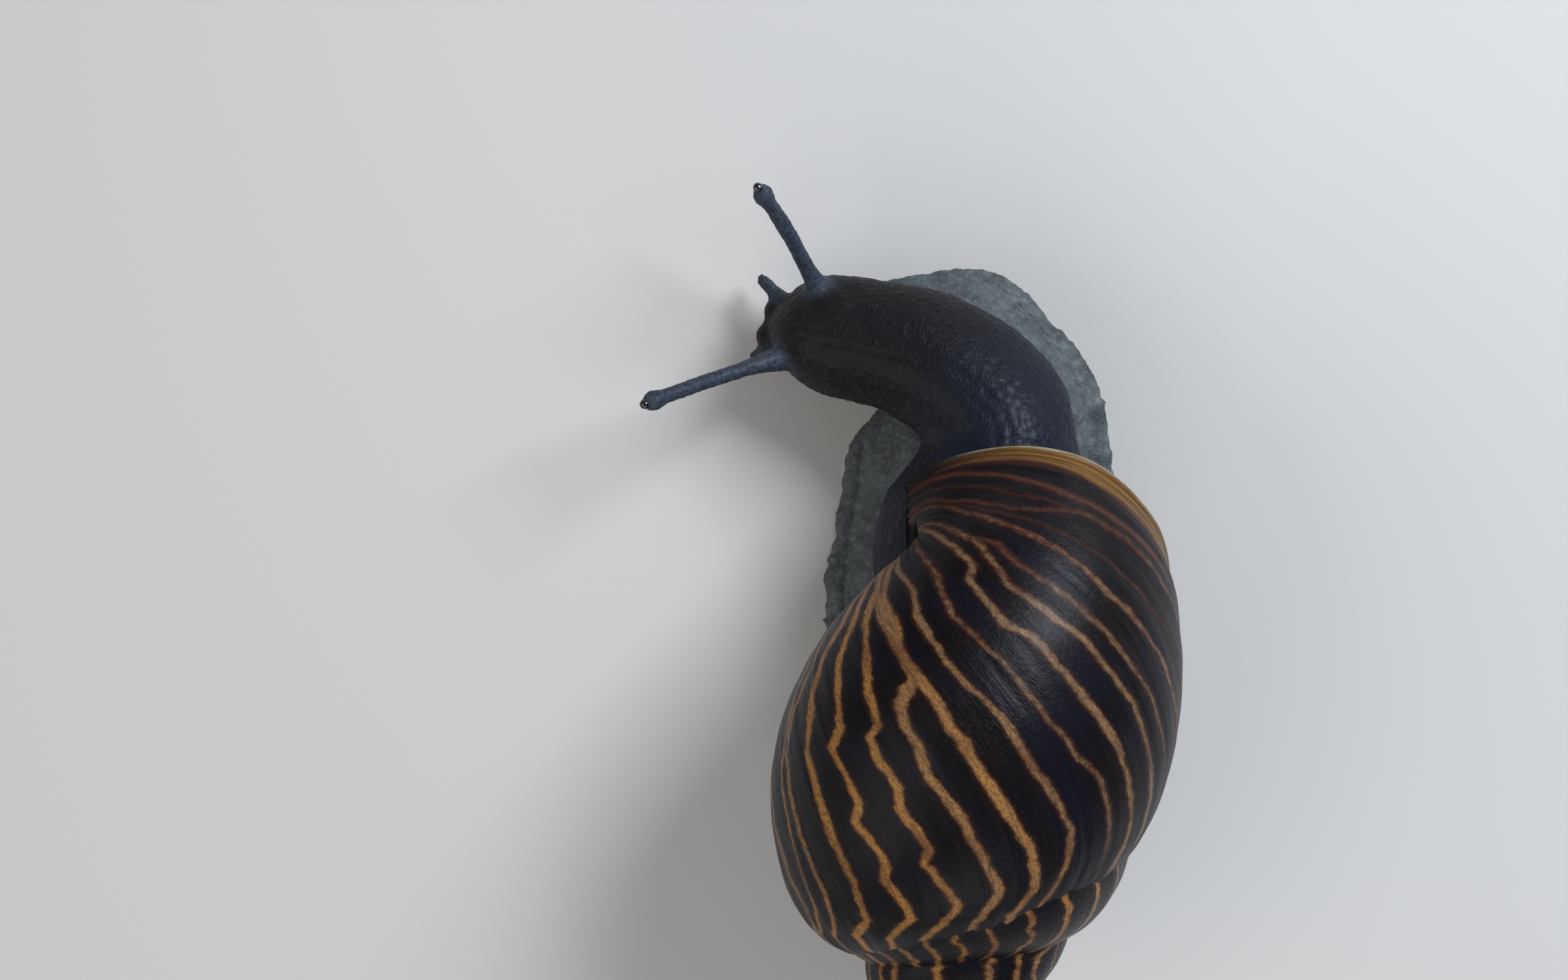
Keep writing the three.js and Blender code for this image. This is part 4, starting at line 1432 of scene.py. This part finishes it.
    def warts(self, points: Array, region: Attributes) -> tuple[Array, Array]:
        """The net of grooves between the skin's tubercles.

        Args:
            points: the skin's points.
            region: how much each belongs to each part.

        Returns:
            The relief in millimetres, and how high each point stands in its tubercle from 0 to 1.
        """
        neck_way, neck_across = self.neck.locate(points)
        foot_way, foot_across = self.foot.locate(points)
        rows = np.stack([neck_way / 1.45 + 1.5 * np.abs(neck_across), neck_across * 13.0, points[:, 2]], -1)
        neck_cell = grooves(rows, 51, self.cell_gap)
        rows = np.stack([foot_way / 1.4, foot_across * 14.5, points[:, 2] / 1.3], -1)
        foot_cell = grooves(rows, 52, self.cell_gap)
        fine_cell = grooves(points / self.fine_cell, 53, 0.5)
        fine = np.clip(region["tentacle"] + region["mouth"] + region["mantle"], 0, 1)
        wart, relief = 0.0, 0.0
        kinds = (
            (neck_cell, region["neck"], 0.15),
            (foot_cell, region["foot"], 0.17),
            (fine_cell, fine, 0.07),
        )
        for cell, share, depth in kinds:
            wart = wart + cell * share
            relief = relief + depth * (cell - 0.6) * share
        fringe = region["foot"] * smoothstep(np.abs(foot_across), self.comb_from, 0.94)
        combs = ripple(foot_way, 0.75, 54) * 0.13 + ripple(foot_way, 2.2, 55) * 0.08
        relief = relief * (1 - fringe) + fringe * combs
        ditch = hill(np.abs(foot_across), self.ditch_at, 0.022)
        relief = relief - 0.35 * region["foot"] * ditch * smoothstep(points[:, 2], 0.6, 1.2)
        head = region["neck"] * smoothstep(points[:, 2], 9, 14)
        for groove in (-self.groove_at, self.groove_at):
            bend = groove + 0.018 * ripple(neck_way, 5, 56)
            relief = relief - 0.17 * head * hill(neck_across, bend, 0.03)
        return relief, wart

    def build(self) -> bpy.types.Object:
        """Builds the skin."""
        raw = self.raw()
        skin = closed_mesh("snail_skin", *(rings for parts in raw.values() for rings in parts))
        block = self.shell_block()
        remeshed(skin, self.voxel, block)
        bpy.data.objects.remove(block)
        keep_biggest(skin)
        edges = edges_of(skin)
        points = relax(points_of(skin), edges, 6)
        move_points(skin, points)
        normals = normals_of(skin)
        region = self.regions(raw, points, edges)
        relief, wart = self.warts(points, region)
        relief = relief + 0.16 * cloud(points / 5.5, 57) + 0.07 * cloud(points / 2.4, 58)
        sole = smoothstep(-normals[:, 2], 0.35, 0.8) * smoothstep(-points[:, 2], -1.6, -0.7)
        points = points + normals * (relief * (1 - sole))[:, None]
        points = relax(points, edges, 1, 0.3)
        points[:, 2] = np.maximum(points[:, 2] * (1 - sole), 0)
        move_points(skin, points)
        give(skin, self.colours(points, region, wart))
        finished(skin, WetSkin().make(), 180)
        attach(skin, "root")
        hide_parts(*FLESH_NODES)
        return skin

    def colours(self, points: Array, region: Attributes, wart: Array) -> Attributes:
        """The numbers that the skin's material reads."""
        way, _ = self.neck.locate(points)
        return {
            "foot": region["foot"],
            "tentacle": np.clip(region["tentacle"] * 1.4, 0, 1),
            "mantle": region["mantle"],
            "front": smoothstep(way, 62, 84) * region["neck"],
            # How much of the painted blue sky sheen the neck takes near the lip.
            "near_lip": (1 - smoothstep(way, 44, 66)) * region["neck"],
            "wart": np.clip(wart, 0, 1),
        }


@dataclass(frozen=True)
class Eye:
    """An eye at the tip of a long feeler: a bead with a bulging window at its front."""

    feeler: Feeler
    radius: float = 0.72

    def build(self, material: bpy.types.Material) -> bpy.types.Object:
        """Builds the eye, looking along its feeler."""
        path = self.feeler.path()
        spin = np.array(Vector(path[-1] - path[-6]).to_track_quat("Z", "Y").to_matrix())
        angle, about = ball_angles(40, 48, 0.02)
        window = 0.055 * hill(angle, 0, 0.55)
        groove = 0.03 * hill(angle, 0.95, 0.12)
        rings = ball(angle, about, self.radius * (0.97 + window - groove))
        piece = closed_mesh(f"eye_{self.feeler.side}", rings @ spin.T + path[-1])
        ring = hill(angle, 1.05, 0.3) + 0 * about
        give(piece, {"ring": np.concatenate([ring.ravel(), [0, 0]])})
        finished(piece, material, 180)
        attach(piece, "root")
        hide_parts(f"{self.feeler.side}_eye")
        return piece


# ---------------------------------------------------------------- studio
@dataclass(frozen=True)
class Lamp:
    """A square soft light: place and aim in metres, power in watts."""

    name: str
    place: tuple[float, float, float]
    power: float
    size: float
    colour: Colour
    aim: tuple[float, float, float] = (0.0, 0.0, 0.02)

    def build(self) -> bpy.types.Object:
        """Hangs the light."""
        data = bpy.data.lights.new(self.name, "AREA")
        data.energy = self.power
        data.size = self.size
        data.color = self.colour
        made = bpy.data.objects.new(self.name, data)
        made.location = self.place
        made.rotation_mode = "QUATERNION"
        made.rotation_quaternion = (Vector(self.aim) - Vector(self.place)).to_track_quat("-Z", "Y")
        bpy.context.scene.collection.objects.link(made)
        return made


@dataclass(frozen=True)
class Studio:
    """The floor, the lights and the camera."""

    floor_size: float = 3.0  # metres
    floor_gap: float = 0.02  # millimetres
    film_width: float = 36.0  # millimetres
    view_width: float = 30.0  # degrees across the picture
    sky: Colour = (0.86, 0.92, 1.0)
    sky_strength: float = 0.22
    camera_at: tuple[float, float, float] = (-0.01709, 0.07342, 0.41699)
    camera_look: tuple[float, float, float] = (0.0, -0.12, -0.993)
    camera_up: tuple[float, float, float] = (0.0, 0.993, -0.12)
    lamps: tuple[Lamp, ...] = (
        Lamp("key", (0.36, 0.36, 0.46), 4.6, 0.26, (0.86, 0.92, 1.0)),
        Lamp("fill", (-0.5, -0.2, 0.45), 1.5, 0.5, (1.0, 0.94, 0.86)),
        Lamp("back", (0.05, -0.6, 0.4), 1.0, 0.4, (0.95, 0.97, 1.0)),
    )

    def build(self) -> None:
        """Sets up the studio."""
        self._floor()
        for lamp in self.lamps:
            lamp.build()
        self._camera()
        self._surroundings()

    def _floor(self) -> None:
        """Lays the floor as a sheet of squares that is a touch below the sole."""
        side, squares = self.floor_size / MM / 2, 8
        ticks = np.linspace(-side, side, squares + 1)
        points = np.array([(x, y, -self.floor_gap) for y in ticks for x in ticks])
        corners = [row * (squares + 1) + column for row in range(squares) for column in range(squares)]
        faces = [(at, at + 1, at + squares + 2, at + squares + 1) for at in corners]
        floor = finished(new_mesh("studio_floor", points, faces), StudioFloor().make())

    def _camera(self) -> None:
        """Hangs the camera above the snail's left side."""
        data = bpy.data.cameras.new("camera")
        data.sensor_fit = "HORIZONTAL"
        data.sensor_width = self.film_width
        data.lens = self.film_width / 2 / math.tan(math.radians(self.view_width / 2))
        data.clip_start = 0.01
        camera = bpy.data.objects.new("camera", data)
        back = -Vector(self.camera_look).normalized()
        up = Vector(self.camera_up)
        right = up.cross(back).normalized()
        spin = Matrix((right, back.cross(right), back)).transposed()
        camera.rotation_mode = "QUATERNION"
        camera.rotation_quaternion = spin.to_quaternion()
        camera.location = self.camera_at
        bpy.context.scene.collection.objects.link(camera)
        bpy.context.scene.camera = camera

    def _surroundings(self) -> None:
        """Fills the studio with an even, slightly cool light."""
        world = bpy.data.worlds.new("studio")
        world.use_nodes = True
        background = world.node_tree.nodes["Background"]
        background.inputs["Color"].default_value = (*self.sky, 1.0)
        background.inputs["Strength"].default_value = self.sky_strength
        bpy.context.scene.world = world
        bpy.context.scene.view_settings.view_transform = "Standard"


def report(pieces: list[bpy.types.Object]) -> None:
    """Logs each piece and the size of its mesh."""
    total = 0
    for piece in pieces:
        triangles = sum(len(face.vertices) - 2 for face in piece.data.polygons)
        total += triangles
        log.info("%s: %d points, %d triangles", piece.name, len(piece.data.vertices), triangles)
    log.info("all pieces: %d triangles", total)


def main() -> None:
    """Builds the shell, the body, the eyes and the studio, and logs the size of each piece's mesh."""
    shell = Shell()
    pieces = shell.build()
    pieces.append(Flesh(shell).build())
    gloss = EyeGloss().make()
    pieces += [Eye(feeler).build(gloss) for feeler in FEELERS if feeler.upper]
    Studio().build()
    report(pieces)


if __name__ == "__main__":
    main()
